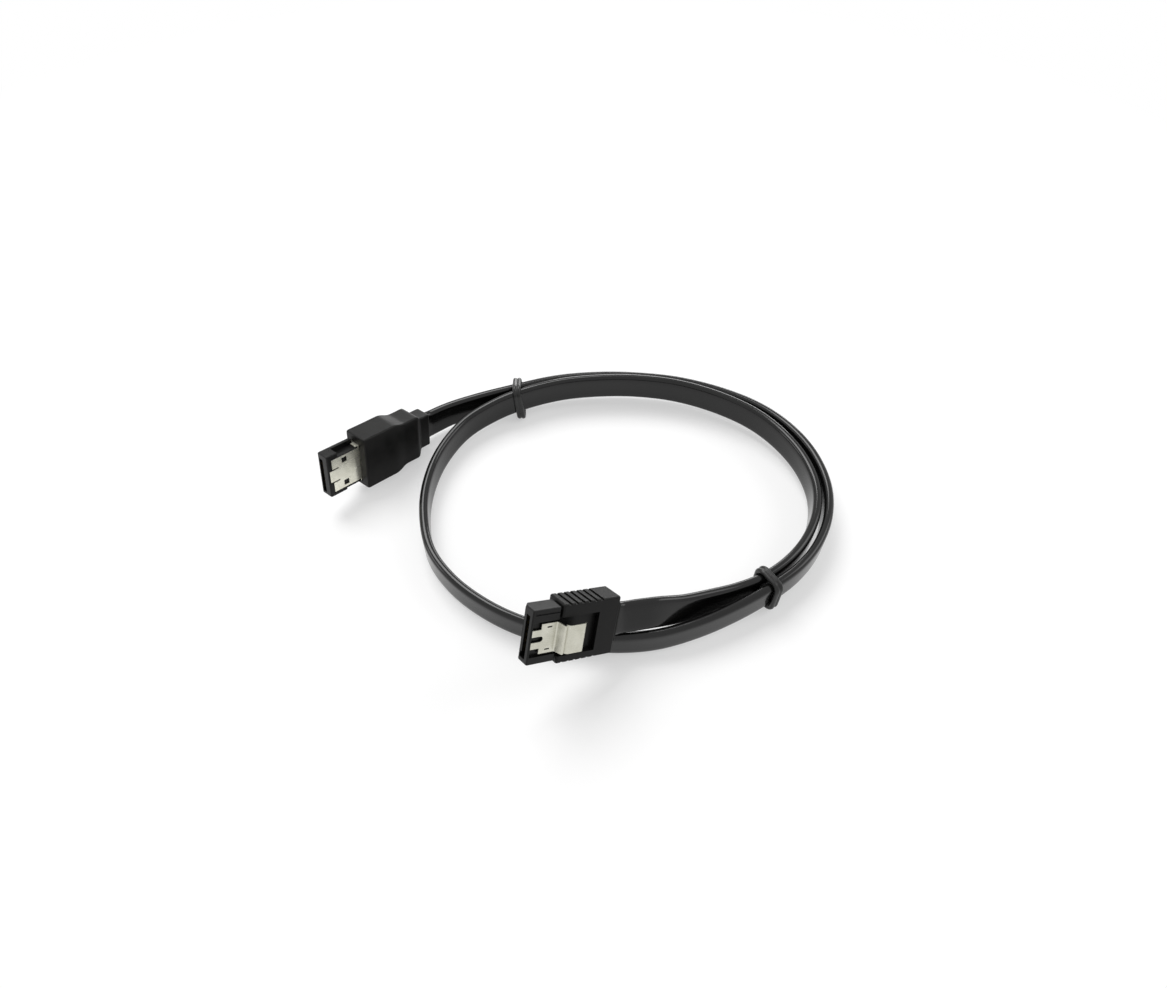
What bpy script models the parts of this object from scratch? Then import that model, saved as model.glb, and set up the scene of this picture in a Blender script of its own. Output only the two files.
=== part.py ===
# Flat serial data cable: a ribbon lead coiled one and a half turns in two ring ties,
# with an external-drive plug at one end and a latching internal-drive plug at the other.
# Units are metres and +Z is up. The coil stands on its edge on the plane z = 0.
# Each plug has its own frame: +X out of the nose, +Z out of the plated face.

import math

import bmesh
import bpy
from mathutils import Euler, Matrix, Vector

MM = 0.001
COLLECTION_NAME = "flat_data_cable"

# Clearances
FACE_GAP = 0.30 * MM
SNUG_GAP = 0.12 * MM
CUT_OVERRUN = 0.40 * MM

# Ribbon lead
RIBBON_WIDTH = 7.5 * MM
RIBBON_THICKNESS = 2.1 * MM
RIBBON_POINT_COUNT = 78
RIBBON_SIDE_STEPS = 2
CURVE_SAMPLES = 40
RIBBON_LEAD = 2.0 * MM

# Where the coil lies: the point of the route's plan that becomes the origin
LAY_CENTRE = Vector((-1.10, -10.50, 0.0)) * MM

# Route of the ribbon's middle line between the plugs, in millimetres: x, y, height,
# and the lean of the ribbon's upper edge from upright, in degrees
RIBBON_ROUTE = [
    (-35.6, 20.7, 5.1, -4),
    (-28.6, 24.3, 5.25, 0),
    (-17.6, 28.6, 5.4, 0),
    (-7.8, 32.0, 5.4, 0),
    (2.5, 33.6, 5.5, 0),
    (13.0, 33.9, 5.5, 0),
    (24.5, 32.7, 5.5, 0),
    (36.5, 29.0, 5.4, 0),
    (45.4, 24.0, 5.4, 0),
    (52.2, 17.2, 5.4, 0),
    (56.8, 8.8, 5.4, 0),
    (58.8, -1.0, 5.4, 0),
    (57.7, -10.1, 5.4, 0),
    (54.2, -18.1, 5.4, 0),
    (49.0, -24.7, 5.4, 0),
    (42.6, -29.9, 5.4, 0),
    (34.5, -35.0, 5.1, 0),
    (25.5, -39.3, 4.6, 0),
    (16.5, -42.1, 4.1, 0),
    (7.0, -43.0, 3.9, 0),
    (-3.0, -42.1, 3.8, 0),
    (-12.2, -39.8, 3.75, 0),
    (-20.5, -35.9, 3.75, 0),
    (-28.5, -29.9, 3.75, 0),
    (-34.4, -22.3, 3.75, 0),
    (-37.4, -12.4, 3.75, 0),
    (-37.9, -3.0, 3.8, 0),
    (-35.9, 6.9, 4.2, 0),
    (-30.9, 16.2, 4.8, 0),
    (-24.0, 22.2, 5.5, 0),
    (-17.4, 25.7, 6.2, 0),
    (-7.2, 29.4, 6.7, 0),
    (2.7, 31.0, 7.0, 0),
    (13.0, 31.4, 7.1, 0),
    (24.1, 30.2, 6.9, 0),
    (35.3, 26.5, 6.5, 0),
    (43.7, 21.5, 6.2, 0),
    (49.9, 15.0, 5.9, 0),
    (54.2, 7.2, 5.7, 0),
    (56.0, -1.3, 5.6, 0),
    (54.9, -9.6, 5.6, 0),
    (51.6, -16.9, 5.55, 0),
    (46.9, -22.8, 5.5, 0),
    (40.9, -27.6, 5.5, 0),
    (34.7, -30.9, 5.8, 3),
    (28.0, -34.0, 7.0, 9),
    (21.6, -37.0, 8.75, 17),
    (15.8, -39.3, 10.95, 26),
    (12.0, -40.2, 11.2, 28),
]
ESATA_LEAN = -8.2
SATA_LEAN = 27.0

# Ring ties: the route points of the two strands that each one holds
TIE_CORD_DIAMETER = 1.15 * MM
TIE_GAP = 0.14 * MM
TIE_CORNER_STEPS = 5
TIE_STRANDS = {"rear_tie": (2, 30), "front_tie": (15, 43)}

# Contacts and wires, the same in both plugs
CONTACT_COUNT = 7
CONTACT_PITCH = 1.27 * MM
CONTACT_WIDTH = 0.70 * MM
CONTACT_THICKNESS = 0.25 * MM
CONTACT_TAIL = 2.5 * MM
CONTACT_TIP_SETBACK = 0.8 * MM
SIGNAL_WIRE_DIAMETER = 0.60 * MM
GROUND_WIRE_DIAMETER = 0.40 * MM
GROUND_PLACES = (0, 3, 6)
WIRE_PITCH_IN_RIBBON = 0.90 * MM
WIRE_PASSAGE_HEIGHT = 1.20 * MM
SLOT_HEIGHT = 1.20 * MM
SLOT_WIDTH = 9.30 * MM
SLOT_OFFSET = {"esata": 0.45 * MM, "sata": 0.20 * MM}
SLOT_KEY_WIDTH = 1.20 * MM
SLOT_KEY_DROP = 0.50 * MM

# External plug, measured along +X from the end of its strain relief
ESATA_PLACE = Vector((-40.9, 16.6, 5.2)) * MM
ESATA_TURN = (-81.8, -13.3, 230.3)
ESATA_RELIEF_START = 0.9 * MM
ESATA_RELIEF_LENGTH = 3.1 * MM
ESATA_RELIEF_SIZE = (9.1 * MM, 4.4 * MM)
RELIEF_STEP = 1.3 * MM
ESATA_NECK_END = 9.2 * MM
ESATA_NECK_SIZE = (12.1 * MM, 6.2 * MM)
ESATA_TAPER_END = 12.7 * MM
ESATA_BODY_LENGTH = 22.0 * MM
ESATA_BODY_SIZE = (14.0 * MM, 6.8 * MM)
ESATA_TAPER_STEPS = 5
ESATA_CAVITY_START = 10.0 * MM
ESATA_INSULATOR_START = 15.0 * MM
ESATA_NOSE_LENGTH = 9.2 * MM
ESATA_NOSE_SIZE = (11.5 * MM, 3.4 * MM)
ESATA_NOSE_OFFSET = 0.15 * MM
ESATA_NOSE_MIDDLE = -0.5 * MM
ESATA_SLOT_DROP = 0.55 * MM
ESATA_NOTCH_LENGTH = 6.0 * MM
ESATA_NOTCH_WIDTH = 1.2 * MM
ESATA_NOTCH_DEPTH = 2.4 * MM
ESATA_LOWER_NOTCH_LENGTH = 4.3 * MM
ESATA_LOWER_NOTCH_WIDTH = 0.6 * MM
ESATA_LOWER_NOTCH_DEPTH = 1.6 * MM
ESATA_SLOT_DEPTH = 6.3 * MM
SHIELD_THICKNESS = 0.25 * MM
SHIELD_WIDTH = 9.0 * MM
SHIELD_OFFSET = 0.40 * MM
SHIELD_SLEEVE_WIDTH = 10.2 * MM
SHIELD_START = 18.5 * MM
SHIELD_TIP_SETBACK = 0.5 * MM
SHIELD_OUTER_SETBACK = 1.3 * MM
SHIELD_HOLE = 1.4 * MM
SHIELD_HOLE_SPACING = 6.4 * MM
SHIELD_HOLE_SETBACK = 4.3 * MM
SHIELD_SLIT_WIDTH = 0.35 * MM
SHIELD_SLIT_LENGTH = 2.6 * MM
SHIELD_FINGER_WIDTH = 3.1 * MM

# Internal plug, measured along +X from the back of its body
SATA_PLACE = Vector((6.1, -42.5, 13.1)) * MM
SATA_TURN = (-63.0, -24.7, 207.5)
SATA_BODY_LENGTH = 14.0 * MM
SATA_BODY_SIZE = (13.0 * MM, 5.5 * MM)
SATA_COLLAR_LENGTH = 1.3 * MM
SATA_COLLAR_SIZE = (9.0 * MM, 3.5 * MM)
SATA_RIBBON_OFFSET = 0.1 * MM
SATA_CAVITY_START = 3.0 * MM
SATA_INSULATOR_START = 7.2 * MM
SATA_NOSE_LENGTH = 6.8 * MM
SATA_NOSE_SIZE = (11.8 * MM, 3.8 * MM)
SATA_NOSE_DROP = 0.35 * MM
SATA_NOSE_OFFSET = -0.10 * MM
SATA_NOSE_CHAMFER = 0.65 * MM
SATA_CORE_THICKNESS = 2.0 * MM
SATA_CORE_DROP = 0.40 * MM
SATA_SLOT_WALL = 0.20 * MM
CORE_WALL = 0.4 * MM
NOSE_ROUND = 0.25 * MM
SATA_SLOT_DEPTH = 5.6 * MM
GRIP_RIDGES = 6
GRIP_START = 4.4 * MM
GRIP_PITCH = 1.55 * MM
GRIP_GROOVE_WIDTH = 0.65 * MM
GRIP_GROOVE_DEPTH = 0.32 * MM
WINDOW_BACK = 5.0 * MM
WINDOW_WIDTH = 8.5 * MM
WINDOW_OFFSET = 0.55 * MM
WINDOW_DEPTH = 1.2 * MM

# Sprung latch of the internal plug; it turns about a line across its plate
LATCH_THICKNESS = 0.28 * MM
LATCH_WIDTH = 6.4 * MM
LATCH_OFFSET = 0.45 * MM
LATCH_TIP_SETBACK = 0.5 * MM
LATCH_AXIS_SETBACK = 2.5 * MM
LATCH_RECESS = 0.75 * MM
LATCH_RECESS_MARGIN = 0.5 * MM
LATCH_PLATE_SINK = 0.14 * MM
LATCH_TAB_RISE = 1.45 * MM
LATCH_TAB_LENGTH = 3.6 * MM
LATCH_RAMP_LENGTH = 0.8 * MM
LATCH_CREST_LENGTH = 0.9 * MM
LATCH_CREST_DIP = 0.30 * MM
LATCH_LIP = 0.4 * MM
LATCH_FOOT_WIDTH = 1.4 * MM
LATCH_FOOT_GAP = 1.2 * MM
LATCH_FOOT_LENGTH = 2.0 * MM
LATCH_NOTCH_RADIUS = 0.60 * MM
LATCH_HOLE_SIZE = (0.55 * MM, 0.30 * MM)
LATCH_HOLE_SETBACK = 3.9 * MM
LATCH_HOLE_SPACING = 4.8 * MM

EDGE_ROUND = 0.45 * MM
MOULD_CORNER = 0.45 * MM


def clear_scene():
    for item in list(bpy.data.objects):
        bpy.data.objects.remove(item, do_unlink=True)


def make_collection(name):
    collection = bpy.data.collections.new(name)
    bpy.context.scene.collection.children.link(collection)
    return collection


def make_material(name, colour, roughness, metallic):
    material = bpy.data.materials.new(name)
    material.use_nodes = True
    shader = material.node_tree.nodes["Principled BSDF"]
    shader.inputs["Base Color"].default_value = (*colour, 1.0)
    shader.inputs["Roughness"].default_value = roughness
    shader.inputs["Metallic"].default_value = metallic
    return material


clear_scene()
PARTS = make_collection(COLLECTION_NAME)
CUTTERS = make_collection("cutters")

JACKET = make_material("jacket", (0.012, 0.012, 0.013), 0.22, 0.0)
MOULDING = make_material("moulding", (0.018, 0.018, 0.020), 0.42, 0.0)
HOUSING = make_material("housing", (0.014, 0.014, 0.015), 0.35, 0.0)
TIE_RUBBER = make_material("tie", (0.015, 0.015, 0.016), 0.50, 0.0)
NICKEL = make_material("nickel", (0.75, 0.73, 0.68), 0.28, 1.0)
GOLD = make_material("gold", (0.83, 0.62, 0.26), 0.25, 1.0)
BLUE_WIRE = make_material("signal_wire", (0.10, 0.22, 0.55), 0.45, 0.0)
BARE_WIRE = make_material("ground_wire", (0.72, 0.70, 0.66), 0.30, 1.0)


# Shapes

def mesh_object(name, mesh, material=None, parent=None):
    piece = bpy.data.objects.new(name, mesh)
    if material is None:
        CUTTERS.objects.link(piece)
        piece.hide_render = True
        piece.display_type = "WIRE"
    else:
        PARTS.objects.link(piece)
        mesh.materials.append(material)
    piece.parent = parent
    return piece


def box(name, low, high, material=None, parent=None):
    """A box between two corners; without a material it is a cutter."""
    shape = bmesh.new()
    bmesh.ops.create_cube(shape, size=1.0)
    middle = (Vector(low) + Vector(high)) / 2
    size = Vector(high) - Vector(low)
    bmesh.ops.scale(shape, vec=size, verts=shape.verts)
    bmesh.ops.translate(shape, vec=middle, verts=shape.verts)
    mesh = bpy.data.meshes.new(name)
    shape.to_mesh(mesh)
    shape.free()
    return mesh_object(name, mesh, material, parent)


def box_row(name, lows_and_highs, parent):
    """One cutter made of several separate boxes."""
    shape = bmesh.new()
    for low, high in lows_and_highs:
        made = bmesh.ops.create_cube(shape, size=1.0)["verts"]
        size = Vector([abs(b - a) for a, b in zip(low, high)])
        bmesh.ops.scale(shape, vec=size, verts=made)
        bmesh.ops.translate(shape, vec=(Vector(low) + Vector(high)) / 2, verts=made)
    mesh = bpy.data.meshes.new(name)
    shape.to_mesh(mesh)
    shape.free()
    return mesh_object(name, mesh, None, parent)


def pin_row(name, places, radius, depth, parent):
    """One cutter made of upright round pins at x, y, z places."""
    shape = bmesh.new()
    for place in places:
        bmesh.ops.create_cone(
            shape, cap_ends=True, segments=12, radius1=radius, radius2=radius,
            depth=depth, matrix=Matrix.Translation(place),
        )
    mesh = bpy.data.meshes.new(name)
    shape.to_mesh(mesh)
    shape.free()
    return mesh_object(name, mesh, None, parent)


def cut(piece, cutter):
    modifier = piece.modifiers.new("cut_" + cutter.name, "BOOLEAN")
    modifier.operation = "DIFFERENCE"
    modifier.object = cutter


def join(piece, addition):
    modifier = piece.modifiers.new("join_" + addition.name, "BOOLEAN")
    modifier.operation = "UNION"
    modifier.object = addition


def round_edges(piece, width, segments=2):
    modifier = piece.modifiers.new("round_edges", "BEVEL")
    modifier.width = width
    modifier.segments = segments
    modifier.limit_method = "ANGLE"
    modifier.angle_limit = math.radians(40)


def rounded_section(width, thickness, corner, steps=3):
    """Corner-rounded rectangle in y and z, as a ring of points."""
    ring = []
    for quarter in range(4):
        side_y = (1, -1, -1, 1)[quarter]
        side_z = (1, 1, -1, -1)[quarter]
        centre_y = side_y * (width / 2 - corner)
        centre_z = side_z * (thickness / 2 - corner)
        for step in range(steps + 1):
            angle = math.pi / 2 * (quarter + step / steps)
            ring.append((centre_y + corner * math.cos(angle), centre_z + corner * math.sin(angle)))
    return ring


def loft(name, stations, material, parent):
    """Skin through rounded sections at (x, (width, thickness)) stations."""
    mesh = bpy.data.meshes.new(name)
    rings = [(x, rounded_section(*size, MOULD_CORNER)) for x, size in stations]
    count = len(rings[0][1])
    points = [(x, y, z) for x, ring in rings for y, z in ring]
    faces = [tuple(range(count))[::-1], tuple(range(len(points) - count, len(points)))]
    for row in range(len(rings) - 1):
        for column in range(count):
            a = row * count + column
            b = row * count + (column + 1) % count
            faces.append((a, b, b + count, a + count))
    mesh.from_pydata(points, [], faces)
    shape = bmesh.new()
    shape.from_mesh(mesh)
    bmesh.ops.recalc_face_normals(shape, faces=shape.faces)
    shape.to_mesh(mesh)
    shape.free()
    return mesh_object(name, mesh, material, parent)


def tube(name, points, diameter, material, parent=None, closed=False, sides=2):
    """Round wire along points, as a curve with filled ends."""
    curve = bpy.data.curves.new(name, "CURVE")
    curve.dimensions = "3D"
    curve.bevel_depth = diameter / 2
    curve.bevel_resolution = sides
    curve.use_fill_caps = not closed
    spline = curve.splines.new("POLY")
    spline.points.add(len(points) - 1)
    for point, place in zip(spline.points, points):
        point.co = (*place, 1.0)
    spline.use_cyclic_u = closed
    curve.materials.append(material)
    piece = bpy.data.objects.new(name, curve)
    PARTS.objects.link(piece)
    piece.parent = parent
    return piece


# Route of the ribbon

def plug_matrix(place, turn):
    rotation = Euler([math.radians(angle) for angle in turn], "XYZ").to_matrix().to_4x4()
    return Matrix.Translation(place - LAY_CENTRE) @ rotation


def smooth_curve(knots, samples_per_span):
    """Dense points on a centripetal Catmull-Rom curve through the knots."""
    first = [2 * a - b for a, b in zip(knots[0], knots[1])]
    last = [2 * a - b for a, b in zip(knots[-1], knots[-2])]
    rows = [first, *knots, last]
    dense = []
    for index in range(1, len(rows) - 2):
        p0, p1, p2, p3 = (Vector(row) for row in rows[index - 1:index + 3])
        t1 = (p1 - p0).xyz.length ** 0.5
        t2 = t1 + (p2 - p1).xyz.length ** 0.5
        t3 = t2 + (p3 - p2).xyz.length ** 0.5
        for step in range(samples_per_span):
            t = t1 + (t2 - t1) * step / samples_per_span
            a1 = p0 * ((t1 - t) / t1) + p1 * (t / t1)
            a2 = p1 * ((t2 - t) / (t2 - t1)) + p2 * ((t - t1) / (t2 - t1))
            a3 = p2 * ((t3 - t) / (t3 - t2)) + p3 * ((t - t2) / (t3 - t2))
            b1 = a1 * ((t2 - t) / t2) + a2 * (t / t2)
            b2 = a2 * ((t3 - t) / (t3 - t1)) + a3 * ((t - t1) / (t3 - t1))
            dense.append(b1 * ((t2 - t) / (t2 - t1)) + b2 * ((t - t1) / (t2 - t1)))
    dense.append(Vector(rows[-2]))
    return dense


def even_points(dense, count):
    """Points an even length apart along a dense line of (x, y, z, lean)."""
    lengths = [0.0]
    for a, b in zip(dense, dense[1:]):
        lengths.append(lengths[-1] + (b - a).xyz.length)
    picked = []
    index = 0
    for number in range(count):
        wanted = lengths[-1] * number / (count - 1)
        while index < len(dense) - 2 and lengths[index + 1] < wanted:
            index += 1
        share = (wanted - lengths[index]) / (lengths[index + 1] - lengths[index])
        picked.append(dense[index].lerp(dense[index + 1], share))
    return picked


def ribbon_line():
    """Middle line of the ribbon from the external plug to the internal one, with its lean."""
    start = plug_matrix(ESATA_PLACE, ESATA_TURN)
    end = plug_matrix(SATA_PLACE, SATA_TURN)
    leaving = SATA_COLLAR_LENGTH + FACE_GAP
    knots = [
        (*(start @ Vector((ESATA_RELIEF_START - FACE_GAP, 0, 0)) / MM), ESATA_LEAN),
        (*(start @ Vector((ESATA_RELIEF_START - FACE_GAP - RIBBON_LEAD, 0, 0)) / MM), ESATA_LEAN),
    ]
    for x, y, height, lean in RIBBON_ROUTE:
        place = Vector((x, y, height)) - LAY_CENTRE / MM
        knots.append((*place, lean))
    knots.append((*(end @ Vector((-leaving - RIBBON_LEAD, SATA_RIBBON_OFFSET, 0)) / MM), SATA_LEAN))
    knots.append((*(end @ Vector((-leaving, SATA_RIBBON_OFFSET, 0)) / MM), SATA_LEAN))
    dense = smooth_curve(knots, CURVE_SAMPLES)[CURVE_SAMPLES:-CURVE_SAMPLES]
    return [Vector(knots[0]), *even_points(dense, RIBBON_POINT_COUNT - 2), Vector(knots[-1])]


def make_ribbon():
    curve = bpy.data.curves.new("ribbon_jacket", "CURVE")
    curve.dimensions = "3D"
    curve.twist_mode = "Z_UP"
    curve.extrude = (RIBBON_WIDTH - RIBBON_THICKNESS) / 2
    curve.bevel_depth = RIBBON_THICKNESS / 2
    curve.bevel_resolution = RIBBON_SIDE_STEPS
    curve.use_fill_caps = True
    line = ribbon_line()
    spline = curve.splines.new("POLY")
    spline.points.add(len(line) - 1)
    for point, place in zip(spline.points, line):
        point.co = (*(place.xyz * MM), 1.0)
        point.tilt = math.radians(place.w)
    curve.materials.append(JACKET)
    PARTS.objects.link(bpy.data.objects.new("ribbon_jacket", curve))


def make_tie(name, strands):
    """Closed ring of round cord, snug over two strands and flat on the plane z = 0."""
    first, second = (Vector(RIBBON_ROUTE[number][:3]) * MM - LAY_CENTRE for number in strands)
    across = (second - first).xy.to_3d()
    middle = ((first + second) / 2).xy.to_3d()
    reach = RIBBON_THICKNESS / 2 + TIE_GAP + TIE_CORD_DIAMETER / 2
    rise = (RIBBON_WIDTH - RIBBON_THICKNESS) / 2
    low = TIE_CORD_DIAMETER / 2 + reach
    side = across.length / 2
    corners = [(side, second.z + rise), (-side, first.z + rise), (-side, low), (side, low)]
    lean = math.atan2(corners[0][1] - corners[1][1], corners[0][0] - corners[1][0])
    starts = (0.0, math.pi / 2 + lean, math.pi, math.pi * 3 / 2)
    ends = (math.pi / 2 + lean, math.pi, math.pi * 3 / 2, math.pi * 2)
    across.normalize()
    points = []
    for (out, up), start, end in zip(corners, starts, ends):
        for step in range(TIE_CORNER_STEPS + 1):
            angle = start + (end - start) * step / TIE_CORNER_STEPS
            place = across * (out + reach * math.cos(angle))
            place.z = up + reach * math.sin(angle)
            points.append(middle + place)
    tube(name, points, TIE_CORD_DIAMETER, TIE_RUBBER, closed=True)


# Contacts and wires

def contact_y(prefix, number):
    return SLOT_OFFSET[prefix] + (number - (CONTACT_COUNT - 1) / 2) * CONTACT_PITCH


def make_contacts(prefix, plug, tail_x, tip_x, floor_z):
    for number in range(CONTACT_COUNT):
        y = contact_y(prefix, number)
        low = (tail_x, y - CONTACT_WIDTH / 2, floor_z + SNUG_GAP)
        high = (tip_x, y + CONTACT_WIDTH / 2, floor_z + SNUG_GAP + CONTACT_THICKNESS)
        box(f"{prefix}_contact_{number + 1}", low, high, GOLD, plug)


def make_wires(prefix, plug, start, cavity_x, tail_x, floor_z):
    """Wires from the ribbon's end, fanning out in the cavity to the tops of the contact tails."""
    for number in range(CONTACT_COUNT):
        ground = number in GROUND_PLACES
        diameter = GROUND_WIRE_DIAMETER if ground else SIGNAL_WIRE_DIAMETER
        kind = "ground" if ground else "signal"
        y_start = start.y + (number - (CONTACT_COUNT - 1) / 2) * WIRE_PITCH_IN_RIBBON
        y_end = contact_y(prefix, number)
        z_end = floor_z + 2 * SNUG_GAP + CONTACT_THICKNESS + diameter / 2
        points = [
            (start.x, y_start, start.z),
            (cavity_x + FACE_GAP, y_start, start.z),
            (tail_x + SNUG_GAP, y_end, z_end),
            (tail_x + CONTACT_TAIL - FACE_GAP, y_end, z_end),
        ]
        material = BARE_WIRE if ground else BLUE_WIRE
        tube(f"{prefix}_{kind}_wire_{number + 1}", points, diameter, material, plug)


def cut_contact_grooves(piece, prefix, back_x, slot_x, floor_z):
    side = CONTACT_WIDTH / 2 + SNUG_GAP
    rise = CONTACT_THICKNESS + 2 * SNUG_GAP
    rows = []
    for number in range(CONTACT_COUNT):
        y = contact_y(prefix, number)
        low = (back_x - CUT_OVERRUN, y - side, floor_z)
        high = (slot_x + CUT_OVERRUN, y + side, floor_z + rise)
        rows.append((low, high))
    cut(piece, box_row(f"{prefix}_contact_grooves", rows, piece.parent))


# External plug

def smoothstep(share):
    return share * share * (3 - 2 * share)


def esata_stations():
    stations = [
        (ESATA_RELIEF_START, ESATA_RELIEF_SIZE),
        (ESATA_RELIEF_START + ESATA_RELIEF_LENGTH, ESATA_RELIEF_SIZE),
        (ESATA_RELIEF_START + ESATA_RELIEF_LENGTH + RELIEF_STEP, ESATA_NECK_SIZE),
    ]
    for step in range(ESATA_TAPER_STEPS + 1):
        share = step / ESATA_TAPER_STEPS
        x = ESATA_NECK_END + (ESATA_TAPER_END - ESATA_NECK_END) * share
        size = tuple(
            neck + (body - neck) * smoothstep(share)
            for neck, body in zip(ESATA_NECK_SIZE, ESATA_BODY_SIZE)
        )
        stations.append((x, size))
    stations.append((ESATA_BODY_LENGTH, ESATA_BODY_SIZE))
    return stations


def shield_levels():
    """Outer bottom and top of the shield's sleeve, and how far the insulator lies under them."""
    sink = SHIELD_THICKNESS + SNUG_GAP
    half = ESATA_NOSE_SIZE[1] / 2
    return ESATA_NOSE_MIDDLE - half - sink, ESATA_NOSE_MIDDLE + half - SNUG_GAP, sink


def esata_slot_floor():
    return ESATA_NOSE_MIDDLE - ESATA_SLOT_DROP - SLOT_HEIGHT / 2


def make_esata_overmould(plug):
    body = loft("esata_overmould", esata_stations(), MOULDING, plug)
    bottom, top, _ = shield_levels()
    side = SHIELD_SLEEVE_WIDTH / 2 + SNUG_GAP
    cavity = box(
        "esata_cavity",
        (ESATA_CAVITY_START, SHIELD_OFFSET - side, bottom - SNUG_GAP),
        (ESATA_BODY_LENGTH + CUT_OVERRUN, SHIELD_OFFSET + side, top + SNUG_GAP),
        None, plug,
    )
    cut(body, cavity)
    passage_start = ESATA_RELIEF_START - CUT_OVERRUN
    cut(body, wire_passage("esata", plug, passage_start, ESATA_CAVITY_START + CUT_OVERRUN, 0.0))
    return body


def wire_passage(prefix, plug, start_x, end_x, middle_y):
    side = WIRE_PITCH_IN_RIBBON * CONTACT_COUNT / 2
    rise = WIRE_PASSAGE_HEIGHT / 2
    return box(
        f"{prefix}_wire_passage",
        (start_x, middle_y - side, -rise), (end_x, middle_y + side, rise), None, plug,
    )


def make_esata_insulator(plug):
    bottom, top, sink = shield_levels()
    nose_start = ESATA_BODY_LENGTH + FACE_GAP
    nose_end = ESATA_BODY_LENGTH + ESATA_NOSE_LENGTH
    half_width, half_thickness = (size / 2 for size in ESATA_NOSE_SIZE)
    upper_side = ESATA_NOSE_OFFSET - half_width
    lower_side = ESATA_NOSE_OFFSET + half_width
    face_z = ESATA_NOSE_MIDDLE + half_thickness
    nose = box(
        "esata_insulator",
        (nose_start, upper_side, ESATA_NOSE_MIDDLE - half_thickness), (nose_end, lower_side, face_z),
        HOUSING, plug,
    )
    round_edges(nose, NOSE_ROUND, 1)
    core_side = SHIELD_SLEEVE_WIDTH / 2 - SHIELD_THICKNESS - SNUG_GAP
    core = box(
        "esata_core",
        (ESATA_INSULATOR_START, SHIELD_OFFSET - core_side, bottom + sink),
        (nose_start + NOSE_ROUND + CUT_OVERRUN, SHIELD_OFFSET + core_side, top - sink),
        None, plug,
    )
    join(nose, core)
    plate_side = SHIELD_WIDTH / 2 + SNUG_GAP
    finger_side = SHIELD_FINGER_WIDTH / 2 + SNUG_GAP
    start = nose_start - CUT_OVERRUN
    over = face_z + CUT_OVERRUN
    recess_z = top - sink
    recesses = [
        ((start, SHIELD_OFFSET - plate_side, recess_z),
         (nose_end - SHIELD_OUTER_SETBACK + SNUG_GAP, SHIELD_OFFSET + plate_side, over)),
        ((start, SHIELD_OFFSET - finger_side, recess_z),
         (nose_end - SHIELD_TIP_SETBACK + SNUG_GAP, SHIELD_OFFSET + finger_side, over)),
        ((start, upper_side - CUT_OVERRUN, face_z - ESATA_NOTCH_DEPTH),
         (nose_start + ESATA_NOTCH_LENGTH, upper_side + ESATA_NOTCH_WIDTH, over)),
        ((start, lower_side - ESATA_LOWER_NOTCH_WIDTH, face_z - ESATA_LOWER_NOTCH_DEPTH),
         (nose_start + ESATA_LOWER_NOTCH_LENGTH, lower_side + CUT_OVERRUN, over)),
    ]
    for number, (low, high) in enumerate(recesses):
        cut(nose, box(f"esata_recess_{number + 1}", low, high, None, plug))
    slot_x = nose_end - ESATA_SLOT_DEPTH
    floor_z = esata_slot_floor()
    slot_y = SLOT_OFFSET["esata"]
    slot = box(
        "esata_slot",
        (slot_x, slot_y - SLOT_WIDTH / 2, floor_z),
        (nose_end + CUT_OVERRUN, slot_y + SLOT_WIDTH / 2, floor_z + SLOT_HEIGHT),
        None, plug,
    )
    cut(nose, slot)
    cut_contact_grooves(nose, "esata", ESATA_INSULATOR_START, slot_x, floor_z)


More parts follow.
